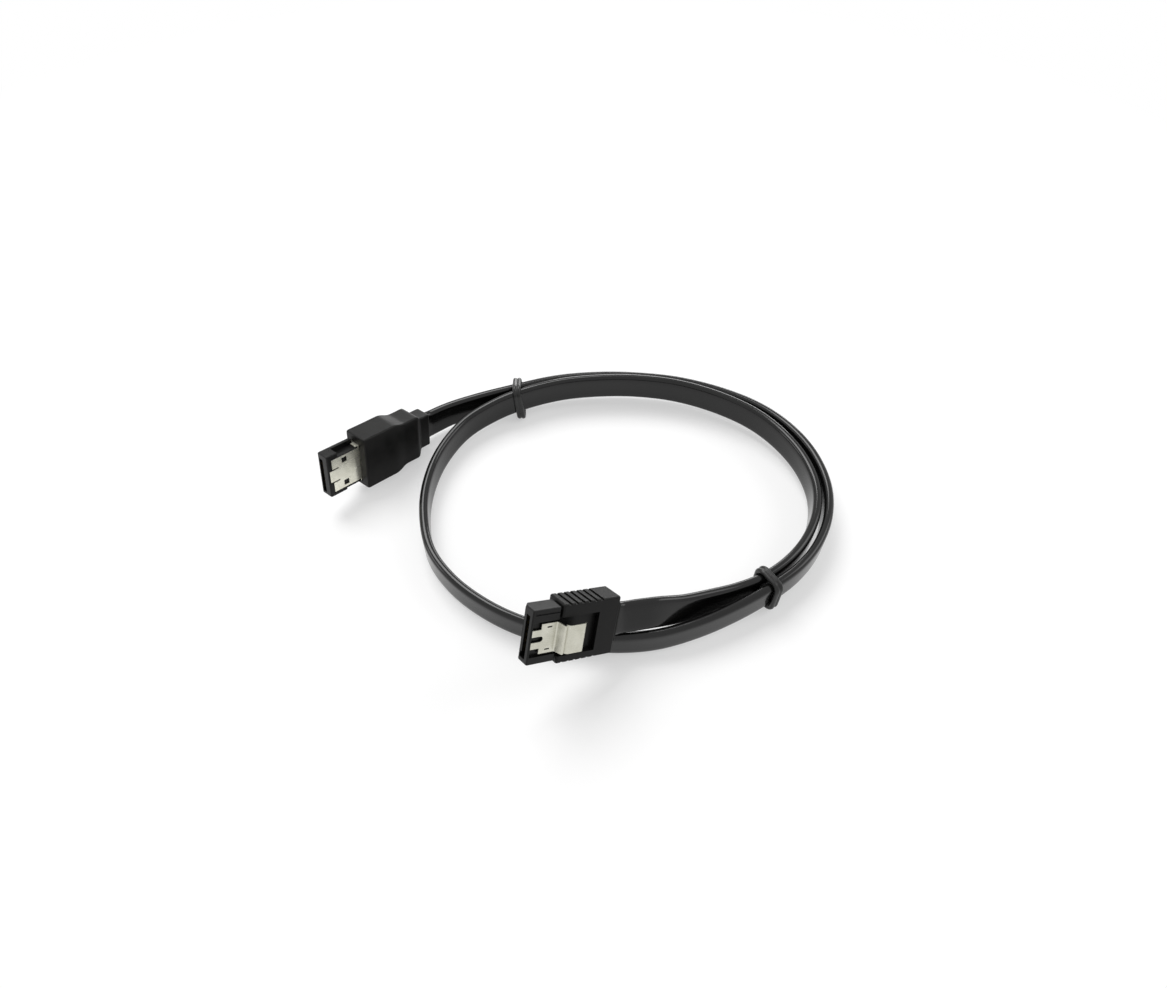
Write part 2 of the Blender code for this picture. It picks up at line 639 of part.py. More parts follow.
def make_esata_shield(plug):
    """Folded plate: a sleeve round the insulator with a three-fingered tongue over the nose's face."""
    bottom, top, _ = shield_levels()
    nose_end = ESATA_BODY_LENGTH + ESATA_NOSE_LENGTH
    tip = nose_end - SHIELD_TIP_SETBACK
    side = SHIELD_SLEEVE_WIDTH / 2
    low_y = SHIELD_OFFSET - side
    high_y = SHIELD_OFFSET + side
    shield = box("esata_shield", (SHIELD_START, low_y, bottom), (tip, high_y, top), NICKEL, plug)
    inner = box(
        "shield_inside",
        (SHIELD_START - CUT_OVERRUN, low_y + SHIELD_THICKNESS, bottom + SHIELD_THICKNESS),
        (tip + CUT_OVERRUN, high_y - SHIELD_THICKNESS, top - SHIELD_THICKNESS),
        None, plug,
    )
    cut(shield, inner)
    sleeve_end = ESATA_BODY_LENGTH + FACE_GAP - SNUG_GAP
    under = box(
        "shield_under_trim",
        (sleeve_end, low_y - CUT_OVERRUN, bottom - CUT_OVERRUN),
        (tip + CUT_OVERRUN, high_y + CUT_OVERRUN, top - SHIELD_THICKNESS - SNUG_GAP / 2),
        None, plug,
    )
    cut(shield, under)
    plate_side = SHIELD_WIDTH / 2
    finger_side = SHIELD_FINGER_WIDTH / 2
    outer_tip = nose_end - SHIELD_OUTER_SETBACK
    trims = []
    for sign in (-1, 1):
        edge = SHIELD_OFFSET + sign * plate_side
        wide = SHIELD_OFFSET + sign * (side + CUT_OVERRUN)
        finger = SHIELD_OFFSET + sign * finger_side
        trims.append(((sleeve_end, edge, bottom), (tip + CUT_OVERRUN, wide, top + CUT_OVERRUN)))
        trims.append((
            (outer_tip, finger, bottom),
            (tip + CUT_OVERRUN, edge + sign * CUT_OVERRUN / 2, top + CUT_OVERRUN),
        ))
        trims.append((
            (tip - SHIELD_SLIT_LENGTH, finger, bottom),
            (outer_tip + CUT_OVERRUN, finger + sign * SHIELD_SLIT_WIDTH, top + CUT_OVERRUN),
        ))
    for number, (low, high) in enumerate(trims):
        cut(shield, box_row(f"shield_trim_{number + 1}", [(low, high)], plug))
    hole_x = tip - SHIELD_HOLE_SETBACK
    rows = []
    for sign in (-1, 1):
        hole_y = SHIELD_OFFSET + sign * SHIELD_HOLE_SPACING / 2
        rows.append((
            (hole_x - SHIELD_HOLE / 2, hole_y - SHIELD_HOLE / 2, top - 2 * SHIELD_THICKNESS),
            (hole_x + SHIELD_HOLE / 2, hole_y + SHIELD_HOLE / 2, top + CUT_OVERRUN),
        ))
    cut(shield, box_row("shield_holes", rows, plug))


def make_esata_plug():
    plug = bpy.data.objects.new("esata_plug", None)
    PARTS.objects.link(plug)
    plug.matrix_world = plug_matrix(ESATA_PLACE, ESATA_TURN)
    make_esata_overmould(plug)
    make_esata_insulator(plug)
    make_esata_shield(plug)
    floor_z = esata_slot_floor()
    tail_x = ESATA_INSULATOR_START - CONTACT_TAIL
    tip_x = ESATA_BODY_LENGTH + ESATA_NOSE_LENGTH - CONTACT_TIP_SETBACK
    make_contacts("esata", plug, tail_x, tip_x, floor_z)
    start = Vector((ESATA_RELIEF_START, 0, 0))
    make_wires("esata", plug, start, ESATA_CAVITY_START, tail_x, floor_z)


# Internal plug

def sata_nose_levels():
    top = SATA_BODY_SIZE[1] / 2 - SATA_NOSE_DROP
    return top - SATA_NOSE_SIZE[1], top


def sata_core_levels():
    """Bottom and top of the insulator behind the nose, under the latch's window."""
    top = sata_nose_levels()[1] - LATCH_RECESS - SATA_CORE_DROP
    return top - SATA_CORE_THICKNESS, top


def sata_slot_floor():
    return sata_nose_levels()[1] - LATCH_RECESS - SATA_SLOT_WALL - SLOT_HEIGHT


def make_sata_body(plug):
    half_width, half_thickness = (size / 2 for size in SATA_BODY_SIZE)
    body = box(
        "sata_body", (0, -half_width, -half_thickness),
        (SATA_BODY_LENGTH, half_width, half_thickness), MOULDING, plug,
    )
    round_edges(body, EDGE_ROUND)
    collar_side = SATA_COLLAR_SIZE[0] / 2
    collar_rise = SATA_COLLAR_SIZE[1] / 2
    collar = box(
        "sata_collar",
        (-SATA_COLLAR_LENGTH, SATA_RIBBON_OFFSET - collar_side, -collar_rise),
        (CUT_OVERRUN + EDGE_ROUND, SATA_RIBBON_OFFSET + collar_side, collar_rise), None, plug,
    )
    round_edges(collar, EDGE_ROUND)
    join(body, collar)
    grooves = []
    for number in range(GRIP_RIDGES):
        x = GRIP_START + GRIP_PITCH * number
        for sign in (-1, 1):
            grooves.append((
                (x, sign * (half_width - GRIP_GROOVE_DEPTH), -half_thickness - CUT_OVERRUN),
                (x + GRIP_GROOVE_WIDTH, sign * (half_width + CUT_OVERRUN), half_thickness + CUT_OVERRUN),
            ))
    cut(body, box_row("grip_grooves", grooves, plug))
    window = box(
        "latch_window",
        (WINDOW_BACK, WINDOW_OFFSET - WINDOW_WIDTH / 2, half_thickness - WINDOW_DEPTH),
        (SATA_BODY_LENGTH + CUT_OVERRUN, WINDOW_OFFSET + WINDOW_WIDTH / 2, half_thickness + CUT_OVERRUN),
        None, plug,
    )
    cut(body, window)
    low, high = sata_core_levels()
    side = SLOT_WIDTH / 2 + CORE_WALL + SNUG_GAP
    middle = SLOT_OFFSET["sata"]
    cavity = box(
        "sata_cavity",
        (SATA_CAVITY_START, middle - side, low - SNUG_GAP),
        (SATA_BODY_LENGTH + CUT_OVERRUN, middle + side, high + SNUG_GAP), None, plug,
    )
    cut(body, cavity)
    passage = wire_passage(
        "sata", plug, -SATA_COLLAR_LENGTH - CUT_OVERRUN, SATA_CAVITY_START + CUT_OVERRUN,
        SATA_RIBBON_OFFSET,
    )
    cut(body, passage)


def make_sata_insulator(plug):
    bottom, top = sata_nose_levels()
    low, high = sata_core_levels()
    nose_start = SATA_BODY_LENGTH + FACE_GAP
    nose_end = SATA_BODY_LENGTH + SATA_NOSE_LENGTH
    half_width = SATA_NOSE_SIZE[0] / 2
    nose = box(
        "sata_insulator", (nose_start, SATA_NOSE_OFFSET - half_width, bottom),
        (nose_end, SATA_NOSE_OFFSET + half_width, top), HOUSING, plug,
    )
    round_edges(nose, NOSE_ROUND, 1)
    middle = SLOT_OFFSET["sata"]
    core_side = SLOT_WIDTH / 2 + CORE_WALL
    core = box(
        "sata_core", (SATA_INSULATOR_START, middle - core_side, low),
        (nose_start + CUT_OVERRUN + NOSE_ROUND, middle + core_side, high), None, plug,
    )
    join(nose, core)
    chamfer = box(
        "sata_nose_chamfer", (-SATA_NOSE_CHAMFER, -SATA_NOSE_SIZE[0], -SATA_NOSE_CHAMFER),
        (SATA_NOSE_CHAMFER, SATA_NOSE_SIZE[0], SATA_NOSE_CHAMFER), None, plug,
    )
    chamfer.location = (nose_end, 0, bottom)
    chamfer.rotation_euler = (0, math.radians(45), 0)
    cut(nose, chamfer)
    latch_side = LATCH_WIDTH / 2 + LATCH_RECESS_MARGIN
    recess = box(
        "latch_recess",
        (nose_start - CUT_OVERRUN, LATCH_OFFSET - latch_side, top - LATCH_RECESS),
        (nose_end - LATCH_TIP_SETBACK + SNUG_GAP, LATCH_OFFSET + latch_side, top + CUT_OVERRUN),
        None, plug,
    )
    cut(nose, recess)
    floor_z = sata_slot_floor()
    slot_x = nose_end - SATA_SLOT_DEPTH
    slot = box(
        "sata_slot", (slot_x, middle - SLOT_WIDTH / 2, floor_z),
        (nose_end + CUT_OVERRUN, middle + SLOT_WIDTH / 2, floor_z + SLOT_HEIGHT), None, plug,
    )
    cut(nose, slot)
    key = box(
        "sata_slot_key",
        (slot_x, middle + SLOT_WIDTH / 2 - SLOT_KEY_WIDTH, floor_z - SLOT_KEY_DROP),
        (nose_end + CUT_OVERRUN, middle + SLOT_WIDTH / 2, floor_z + CUT_OVERRUN), None, plug,
    )
    cut(nose, key)
    cut_contact_grooves(nose, "sata", SATA_INSULATOR_START, slot_x, floor_z)


def latch_profile():
    """Side view of the latch's strip from its tip to its lip, as x and z from its turning line."""
    _, nose_top = sata_nose_levels()
    plate_z = nose_top - LATCH_PLATE_SINK - LATCH_THICKNESS / 2
    tab_z = SATA_BODY_SIZE[1] / 2 + LATCH_TAB_RISE - LATCH_THICKNESS / 2
    tip_x = SATA_BODY_LENGTH + SATA_NOSE_LENGTH - LATCH_TIP_SETBACK
    axis_x = tip_x - LATCH_AXIS_SETBACK
    bend_x = SATA_BODY_LENGTH + 2 * FACE_GAP - axis_x
    crest_x = bend_x - LATCH_RAMP_LENGTH
    tab_x = crest_x - LATCH_CREST_LENGTH
    rise = tab_z - plate_z
    outline = [
        (LATCH_AXIS_SETBACK, 0.0),
        (bend_x, 0.0),
        (crest_x, rise),
        (crest_x - LATCH_CREST_LENGTH / 2, rise - LATCH_CREST_DIP),
        (tab_x, rise),
        (tab_x - LATCH_TAB_LENGTH, rise),
        (tab_x - LATCH_TAB_LENGTH - LATCH_LIP, rise - LATCH_LIP),
    ]
    return Vector((axis_x, LATCH_OFFSET, plate_z)), outline


def make_latch(plug):
    """One strip of spring metal with its origin on the line that it turns about."""
    root, outline = latch_profile()
    shape = bmesh.new()
    rows = [
        [shape.verts.new((x, side * LATCH_WIDTH / 2, z)) for side in (-1, 1)]
        for x, z in outline
    ]
    for (a, b), (c, d) in zip(rows, rows[1:]):
        shape.faces.new((a, b, d, c))
    mesh = bpy.data.meshes.new("sata_latch")
    shape.to_mesh(mesh)
    shape.free()
    latch = mesh_object("sata_latch", mesh, NICKEL, plug)
    latch.location = root
    solidify = latch.modifiers.new("thickness", "SOLIDIFY")
    solidify.thickness = LATCH_THICKNESS
    solidify.offset = 0.0
    solidify.use_even_offset = True
    tall = 4 * LATCH_THICKNESS
    tip = root + Vector((LATCH_AXIS_SETBACK, 0, 0))
    foot_in = LATCH_FOOT_GAP / 2
    foot_out = foot_in + LATCH_FOOT_WIDTH
    rows = [(
        tip + Vector((-LATCH_FOOT_LENGTH, -foot_in, -tall)), tip + Vector((CUT_OVERRUN, foot_in, tall)),
    )]
    for sign in (-1, 1):
        rows.append((
            tip + Vector((-LATCH_FOOT_LENGTH, sign * foot_out, -tall)),
            tip + Vector((CUT_OVERRUN, sign * LATCH_WIDTH, tall)),
        ))
    cut(latch, box_row("latch_foot_gaps", rows, plug))
    notch = [root + Vector((LATCH_AXIS_SETBACK - LATCH_FOOT_LENGTH, 0, 0))]
    cut(latch, pin_row("latch_notch", notch, LATCH_NOTCH_RADIUS, tall, plug))
    half_length, half_height = (size / 2 for size in LATCH_HOLE_SIZE)
    rows = []
    for sign in (-1, 1):
        hole = tip + Vector((-LATCH_HOLE_SETBACK, sign * LATCH_HOLE_SPACING / 2, 0))
        reach = Vector((half_length, half_height, tall))
        rows.append((hole - reach, hole + reach))
    cut(latch, box_row("latch_holes", rows, plug))


def make_sata_plug():
    plug = bpy.data.objects.new("sata_plug", None)
    PARTS.objects.link(plug)
    plug.matrix_world = plug_matrix(SATA_PLACE, SATA_TURN)
    make_sata_body(plug)
    make_sata_insulator(plug)
    make_latch(plug)
    floor_z = sata_slot_floor()
    tail_x = SATA_INSULATOR_START - CONTACT_TAIL
    tip_x = SATA_BODY_LENGTH + SATA_NOSE_LENGTH - CONTACT_TIP_SETBACK
    make_contacts("sata", plug, tail_x, tip_x, floor_z)
    start = Vector((-SATA_COLLAR_LENGTH, SATA_RIBBON_OFFSET, 0))
    make_wires("sata", plug, start, SATA_CAVITY_START, tail_x, floor_z)


make_ribbon()
for tie_name, tie_strands in TIE_STRANDS.items():
    make_tie(tie_name, tie_strands)
make_esata_plug()
make_sata_plug()
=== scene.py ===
# Looks of the flat serial data cable: the coiled ribbon, its two ring ties and its two plugs,
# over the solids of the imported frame. Units are metres and +Z is up.
# Each plug has its own frame: +X out of the nose, +Z out of the plated face.

import math

import bmesh
import bpy
from mathutils import Euler, Matrix, Vector


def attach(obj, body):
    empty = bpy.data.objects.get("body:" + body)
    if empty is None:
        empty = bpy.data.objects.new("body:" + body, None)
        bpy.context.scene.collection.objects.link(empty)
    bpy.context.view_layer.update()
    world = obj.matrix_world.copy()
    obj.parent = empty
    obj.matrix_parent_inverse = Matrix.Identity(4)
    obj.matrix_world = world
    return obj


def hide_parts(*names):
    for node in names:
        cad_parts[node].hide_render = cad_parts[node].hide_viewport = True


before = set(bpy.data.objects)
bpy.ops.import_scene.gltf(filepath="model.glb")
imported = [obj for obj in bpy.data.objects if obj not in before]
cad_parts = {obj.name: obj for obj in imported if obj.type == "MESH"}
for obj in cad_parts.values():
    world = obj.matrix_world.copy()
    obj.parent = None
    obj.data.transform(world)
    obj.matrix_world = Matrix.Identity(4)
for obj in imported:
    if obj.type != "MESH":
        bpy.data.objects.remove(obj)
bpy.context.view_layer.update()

MM = 0.001
LAY_CENTRE = Vector((-1.10, -10.50, 0.0)) * MM
FACE_GAP = 0.30

# Camera: the photo's view of the coil
PHOTO_WIDTH = 1167
FOCAL_PIXELS = 850
SENSOR_WIDTH = 36.0
NEAR_CLIP = 0.01
CAMERA_ELEVATION = 52.49
CAMERA_ROLL = 2.0
CAMERA_DISTANCE = 212.386 * MM

# Ribbon, in millimetres: x, y, height and lean of each knot of its middle line
RIBBON_WIDTH = 7.5
RIBBON_THICKNESS = 2.1
RIBBON_RINGS = 640
RIBBON_LEAD = 2.0
ROUND_STEPS = 9
FLAT_STEPS = 6
CURVE_SAMPLES = 40
ESATA_LEAN = -8.2
SATA_LEAN = 27.0
RIBBON_ROUTE = [
    (-35.6, 20.7, 5.1, -4),
    (-28.6, 24.3, 5.25, 0),
    (-17.6, 28.6, 5.4, 0),
    (-7.8, 32.0, 5.4, 0),
    (2.5, 33.6, 5.5, 0),
    (13.0, 33.9, 5.5, 0),
    (24.5, 32.7, 5.5, 0),
    (36.5, 29.0, 5.4, 0),
    (45.4, 24.0, 5.4, 0),
    (52.2, 17.2, 5.4, 0),
    (56.8, 8.8, 5.4, 0),
    (58.8, -1.0, 5.4, 0),
    (57.7, -10.1, 5.4, 0),
    (54.2, -18.1, 5.4, 0),
    (49.0, -24.7, 5.4, 0),
    (42.6, -29.9, 5.4, 0),
    (34.5, -35.0, 5.1, 0),
    (25.5, -39.3, 4.6, 0),
    (16.5, -42.1, 4.1, 0),
    (7.0, -43.0, 3.9, 0),
    (-3.0, -42.1, 3.8, 0),
    (-12.2, -39.8, 3.75, 0),
    (-20.5, -35.9, 3.75, 0),
    (-28.5, -29.9, 3.75, 0),
    (-34.4, -22.3, 3.75, 0),
    (-37.4, -12.4, 3.75, 0),
    (-37.9, -3.0, 3.8, 0),
    (-35.9, 6.9, 4.2, 0),
    (-30.9, 16.2, 4.8, 0),
    (-24.0, 22.2, 5.5, 0),
    (-17.4, 25.7, 6.2, 0),
    (-7.2, 29.4, 6.7, 0),
    (2.7, 31.0, 7.0, 0),
    (13.0, 31.4, 7.1, 0),
    (24.1, 30.2, 6.9, 0),
    (35.3, 26.5, 6.5, 0),
    (43.7, 21.5, 6.2, 0),
    (49.9, 15.0, 5.9, 0),
    (54.2, 7.2, 5.7, 0),
    (56.0, -1.3, 5.6, 0),
    (54.9, -9.6, 5.6, 0),
    (51.6, -16.9, 5.55, 0),
    (46.9, -22.8, 5.5, 0),
    (40.9, -27.6, 5.5, 0),
    (34.7, -30.9, 5.8, 3),
    (28.0, -34.0, 7.0, 9),
    (21.6, -37.0, 8.75, 17),
    (15.8, -39.3, 10.95, 26),
    (12.0, -40.2, 11.2, 28),
]

# Ring ties, with the two knots of the route that each goes round
TIE_STRANDS = {"rear_tie": (2, 30), "front_tie": (15, 43)}
TIE_THICKNESS = 1.15
TIE_WIDTH = 2.2
TIE_GAP = 0.14
TIE_LEAN = {"rear_tie": 0.1, "front_tie": 0.0}
TIE_RIDGE_STEPS = 13
TIE_RIDGE_ANGLE = 142
TIE_CORNER_STEPS = 14

# Places of the plugs
ESATA_PLACE = Vector((-40.9, 16.6, 5.2)) * MM
ESATA_TURN = (-81.8, -13.3, 230.3)
SATA_PLACE = Vector((6.1, -42.5, 13.1)) * MM
SATA_TURN = (-63.0, -24.7, 207.5)

# Contacts of both plugs
CONTACT_COUNT = 7
CONTACT_PITCH = 1.27
GROOVE_SIDE = 0.47

# External plug, in millimetres. A box is given by its low and its high corner.
# Body: place along X, width and thickness of each section
ESATA_COLLAR_START = 0.9
ESATA_SECTIONS = [
    (0.9, 8.7, 4.0), (1.02, 8.95, 4.25), (1.3, 9.1, 4.4), (3.6, 9.1, 4.4), (4.0, 9.25, 4.52),
    (4.3, 9.9, 4.9), (4.8, 11.0, 5.6), (5.15, 11.75, 6.0), (5.5, 12.1, 6.2), (6.0, 12.15, 6.22),
    (7.5, 12.1, 6.2), (9.2, 12.1, 6.2), (9.9, 12.25, 6.26), (10.6, 12.67, 6.39), (11.3, 13.2, 6.56),
    (12.0, 13.7, 6.72), (12.7, 14.0, 6.8), (13.4, 14.05, 6.82), (16.0, 14.0, 6.8), (19.0, 14.0, 6.8),
    (21.5, 14.0, 6.8), (21.75, 13.9, 6.7), (21.92, 13.68, 6.48), (22.0, 13.35, 6.15),
]
MOULD_CORNER = 0.5
CORNER_STEPS = 5
ESATA_POCKET = ((10.0, -4.94, -2.81), (22.5, 5.74, 1.32))
ESATA_WIRE_BORE = ((0.4, -3.15, -0.6), (10.5, 3.15, 0.6))

# Nose: its block and core, and what is cut from them
ESATA_NOSE = ((22.3, -5.6, -2.2), (31.2, 5.9, 1.2))
ESATA_NOSE_ROUNDING = 0.32
ESATA_CORE = ((15.0, -4.32, -2.2), (22.9, 5.12, 0.71))
ESATA_TONGUE_BED = ((21.9, -4.22, 0.71), (30.02, 5.02, 1.6))
ESATA_FINGER_BED = ((21.9, -1.27, 0.71), (30.82, 2.07, 1.6))
ESATA_LOW_STEP = ((21.9, -6.0, -1.2), (28.3, -4.4, 1.6))
ESATA_HIGH_STEP = ((21.9, 5.3, -0.4), (26.6, 6.3, 1.6))
ESATA_SLOT = ((24.9, -4.2, -1.65), (31.6, 5.1, -0.45))
ESATA_CONTACT_MIDDLE = 0.45
ESATA_GROOVE_ENDS = (14.6, 25.3)
ESATA_GROOVE_HEIGHTS = (-1.65, -1.16)

# Shield: its skin, and cuts that repeat on both sides of its middle, each as two X and two Y places
SHIELD_SKIN = ((18.5, -4.7, -2.57), (30.7, 5.5, 1.08))
SHIELD_ROUNDING = 0.16
SHIELD_HOLLOW = ((18.0, -4.45, -2.32), (31.2, 5.25, 0.83))
SHIELD_OPEN_FRONT = ((22.2, -5.1, -3.0), (31.2, 6.0, 0.80))
SHIELD_CORNER = ((21.9, -4.7, -0.95), (22.95, -4.45, 0.92))
SHIELD_MIDDLE = 0.4
SHIELD_SIDE_CUTS = [(22.2, 31.2, 4.5, 5.8), (29.9, 31.2, 1.55, 4.7), (28.1, 30.3, 1.55, 1.9)]
SHIELD_CUT_HEIGHTS = (0.3, 1.5)
SHIELD_WINDOW_ENDS = (25.7, 27.1)
SHIELD_WINDOW_MIDDLE = 3.2
SHIELD_WINDOW_SIDE = 0.7
SHIELD_WINDOW_HEIGHTS = (0.5, 1.5)

# Internal plug, in millimetres
SATA_COLLAR_START = -1.3
SATA_RIBBON_SIDE = 0.1
SATA_BODY = ((0, -6.5, -2.75), (14.0, 6.5, 2.75))
SATA_BODY_ROUNDING = 0.45
SATA_COLLAR = ((SATA_COLLAR_START, -4.4, -1.75), (0.9, 4.6, 1.75))
SATA_COLLAR_ROUNDING = 0.4
SATA_WINDOW = ((5.0, -3.7, 1.55), (14.5, 4.8, 3.2))
SATA_POCKET = ((3.0, -4.97, -0.87), (14.5, 5.37, 1.37))
SATA_WIRE_BORE = ((-1.7, -3.05, -0.6), (3.5, 3.25, 0.6))
GRIP_PLACES = [4.4 + 1.55 * number for number in range(6)]
GRIP_WIDTH = 0.65
GRIP_FLOOR = 6.18
GRIP_CUT_SIDE = 7.0
GRIP_CUT_HEIGHT = 3.2

# Nose: its block and core, and what is cut from them
SATA_NOSE = ((14.3, -6.0, -1.4), (20.8, 5.8, 2.4))
SATA_NOSE_ROUNDING = 0.28
SATA_NOSE_CHAMFER = 0.65
CHAMFER_CUT_SIDE = 9
SATA_CORE = ((7.2, -4.85, -0.75), (15.0, 5.25, 1.25))
SATA_LATCH_BED = ((13.9, -3.25, 1.65), (20.42, 4.15, 2.9))
SATA_SLOT = ((15.2, -4.45, 0.25), (21.2, 4.85, 1.45))
SATA_KEY = ((15.2, 3.65, -0.25), (21.2, 4.85, 0.7))
SATA_SIDE_GROOVE = ((13.9, -5.15, 2.18), (20.1, -4.75, 2.9))
SATA_CONTACT_MIDDLE = 0.2
SATA_GROOVE_ENDS = (6.8, 15.6)
SATA_GROOVE_HEIGHTS = (0.25, 0.74)

# Latch: x, z and bend radius of its side view from the tip to the tab, and its cuts
LATCH_CORNERS = [
    (20.3, 2.12, 0.0), (14.6, 2.12, 0.35), (13.8, 4.09, 0.3), (13.3, 3.4, 0.3),
    (12.75, 4.09, 0.3), (9.2, 4.09, 0.25), (8.85, 3.72, 0.0),
]
LATCH_THICKNESS = 0.28
LATCH_BEND_SHARE = 0.45
LATCH_BEND_STEPS = 5
LATCH_TAB_END = 14.2
LATCH_TAB_LOW_SIDE = -2.5
LATCH_LOW_SIDE = -2.75
LATCH_HIGH_SIDE = 3.65
LATCH_CUTS = [
    ((18.3, -0.15, 1.0), (20.9, 1.05, 3.2)),
    ((18.3, 2.45, 1.0), (20.9, 4.4, 3.2)),
    ((18.3, -3.5, 1.0), (20.9, -1.55, 3.2)),
    ((15.85, 2.7, 1.0), (16.95, 3.0, 3.2)),
    ((15.85, -2.1, 1.0), (16.95, -1.8, 3.2)),
]
LATCH_ROUND_CUT = (18.3, 0.45, 2.1)
LATCH_ROUND_CUT_RADIUS = 0.6
LATCH_ROUND_CUT_REACH = 1.0

# Edge rounding and shading
FINE_EDGE = 0.07
GRIP_EDGE = 0.09
METAL_EDGE = 0.05
SHARP_RIBBON_ANGLE = 60
NORMAL_WEIGHT = 60

# Floor and lamps, in metres and watts
FLOOR_REACH = 3
FLOOR_WHITE = 0.95
FLOOR_ROUGHNESS = 0.9
FLOOR_GLOW = 0.46
FLOOR_FADE = (0.11, 0.3)
WORLD_LEVEL = 0.42
LAMPS = [
    ("key", (-0.25, 0.34, 0.7), (0.5, 0.45), 5.2),
    ("back", (0.14, 0.6, 0.09), (0.5, 0.16), 1.5),
    ("left", (-0.6, -0.02, 0.2), (0.24, 0.2), 0.4),
    ("right", (0.5, 0.1, 0.4), (0.3, 0.3), 0.8),
]


# Helpers

def plug_matrix(place, turn):
    """Frame of a plug in the row frame."""
    rotation = Euler([math.radians(angle) for angle in turn], "XYZ").to_matrix().to_4x4()
    return Matrix.Translation(place - LAY_CENTRE) @ rotation


ESATA_FRAME = plug_matrix(ESATA_PLACE, ESATA_TURN)
SATA_FRAME = plug_matrix(SATA_PLACE, SATA_TURN)


def new_object(name, points, faces, place=Matrix()):
    """Mesh object from points in millimetres in the given frame."""
    mesh = bpy.data.meshes.new(name)
    mesh.from_pydata([Vector(point) * MM for point in points], [], faces)
    shape = bmesh.new()
    shape.from_mesh(mesh)
    bmesh.ops.recalc_face_normals(shape, faces=shape.faces)
    shape.to_mesh(mesh)
    shape.free()
    piece = bpy.data.objects.new(name, mesh)
    bpy.context.scene.collection.objects.link(piece)
    piece.matrix_world = place
    return piece


def block(name, low, high, place, rounding=0.0, steps=2):
    """Box with rounded edges between two corners, in millimetres."""
    points = [(x, y, z) for x in (low[0], high[0]) for y in (low[1], high[1]) for z in (low[2], high[2])]
    faces = [(0, 1, 3, 2), (4, 6, 7, 5), (0, 4, 5, 1), (2, 3, 7, 6), (0, 2, 6, 4), (1, 5, 7, 3)]
    piece = new_object(name, points, faces, place)
    if rounding:
        shape = bmesh.new()
        shape.from_mesh(piece.data)
        bmesh.ops.bevel(
            shape, geom=shape.edges[:], offset=rounding * MM, segments=steps, profile=0.5, affect="EDGES",
        )
        shape.to_mesh(piece.data)
        shape.free()
    return piece


def drum(name, centre, radius, reach, place, sides=32):
    """Round cutter along Z."""
    points = []
    for height in (-reach, reach):
        for number in range(sides):
            angle = math.tau * number / sides
            points.append((
                centre[0] + radius * math.cos(angle), centre[1] + radius * math.sin(angle),
                centre[2] + height,
            ))
    faces = [tuple(range(sides))[::-1], tuple(range(sides, 2 * sides))]
    faces += [(n, (n + 1) % sides, sides + (n + 1) % sides, sides + n) for n in range(sides)]
    return new_object(name, points, faces, place)


def bake(piece):
    """Makes the modifiers' result the piece's own mesh."""
    bpy.context.view_layer.update()
    graph = bpy.context.evaluated_depsgraph_get()
    mesh = bpy.data.meshes.new_from_object(piece.evaluated_get(graph))
    piece.modifiers.clear()
    old = piece.data
    piece.data = mesh
    bpy.data.meshes.remove(old)
    mesh.name = piece.name


def combine(piece, others, operation):
    """Joins the other pieces to this one or cuts them from it, and removes them."""
    for other in others:
        modifier = piece.modifiers.new("shape", "BOOLEAN")
        modifier.object = other
        modifier.operation = operation
        modifier.solver = "EXACT"
    bake(piece)
    for other in others:
        bpy.data.objects.remove(other, do_unlink=True)


def carve(piece, rows, place):
    """Cuts boxes, each given by its low and high corner."""
    combine(piece, [block("cutter", low, high, place) for low, high in rows], "DIFFERENCE")


def soften(piece, width, steps=2, angle=32):
    """Rounds the sharp edges a little and shades the rest smooth."""
    modifier = piece.modifiers.new("edges", "BEVEL")
    modifier.width = width * MM
    modifier.segments = steps
    modifier.limit_method = "ANGLE"
    modifier.angle_limit = math.radians(angle)
    modifier.miter_outer = "MITER_ARC"
    bake(piece)
    shade(piece)


def shade(piece, angle=38):
    """Shades smooth, with a crease where faces meet at more than the angle."""
    piece.data.shade_smooth()
    piece.data.set_sharp_from_angle(angle=math.radians(angle))
    weighted = piece.modifiers.new("normals", "WEIGHTED_NORMAL")
    weighted.keep_sharp = True
    weighted.weight = NORMAL_WEIGHT


def dress(piece, material, body, slot, *nodes):
    """Moves the mesh into the row frame, gives it its material, hangs it on its body and hides the
    imported nodes it stands for. The slot is not used.
    """
    piece.data.transform(piece.matrix_world)
    piece.matrix_world = Matrix()
    piece.data.materials.clear()
    piece.data.materials.append(material)
    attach(piece, body)
    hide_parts(*nodes)


# Materials, with noise scales in cells for each metre and depths in metres

JACKET_LINE_SCALES = (40, 2600, 1)
JACKET_WAVE_SCALES = (45, 160, 1)
JACKET_DUST_SCALE = 5200
JACKET_LINE_DEPTH = 0.0000035
JACKET_WAVE_DEPTH = 0.000045
JACKET_DUST_DEPTH = 0.0000025
PATCH_SCALE = 330
COARSE_SIZE_FACTOR = 6
COARSE_DEPTH_FACTOR = 1.5
CLOUD_SCALE = 420
CLOUD_DEPTH_FACTOR = 2
NICKEL_SCALES = (260, 9000, 9000)
NICKEL_DARK = (0.66, 0.65, 0.55)
NICKEL_LIGHT = (0.79, 0.78, 0.68)


def node(tree, kind, **values):
    """Adds a shader node and sets its properties, or its inputs by name."""
    item = tree.nodes.new(kind)
    for name, value in values.items():
        if hasattr(item, name):
            setattr(item, name, value)
        else:
            item.inputs[name.replace("_", " ")].default_value = value
    return item


def noise(tree, vector, scale, detail=4.0, roughness=0.55):
    """Noise value from nought to one."""
    item = node(tree, "ShaderNodeTexNoise")
    item.inputs["Scale"].default_value = scale
    item.inputs["Detail"].default_value = detail
    item.inputs["Roughness"].default_value = roughness
    tree.links.new(vector, item.inputs["Vector"])
    return item.outputs["Fac"]


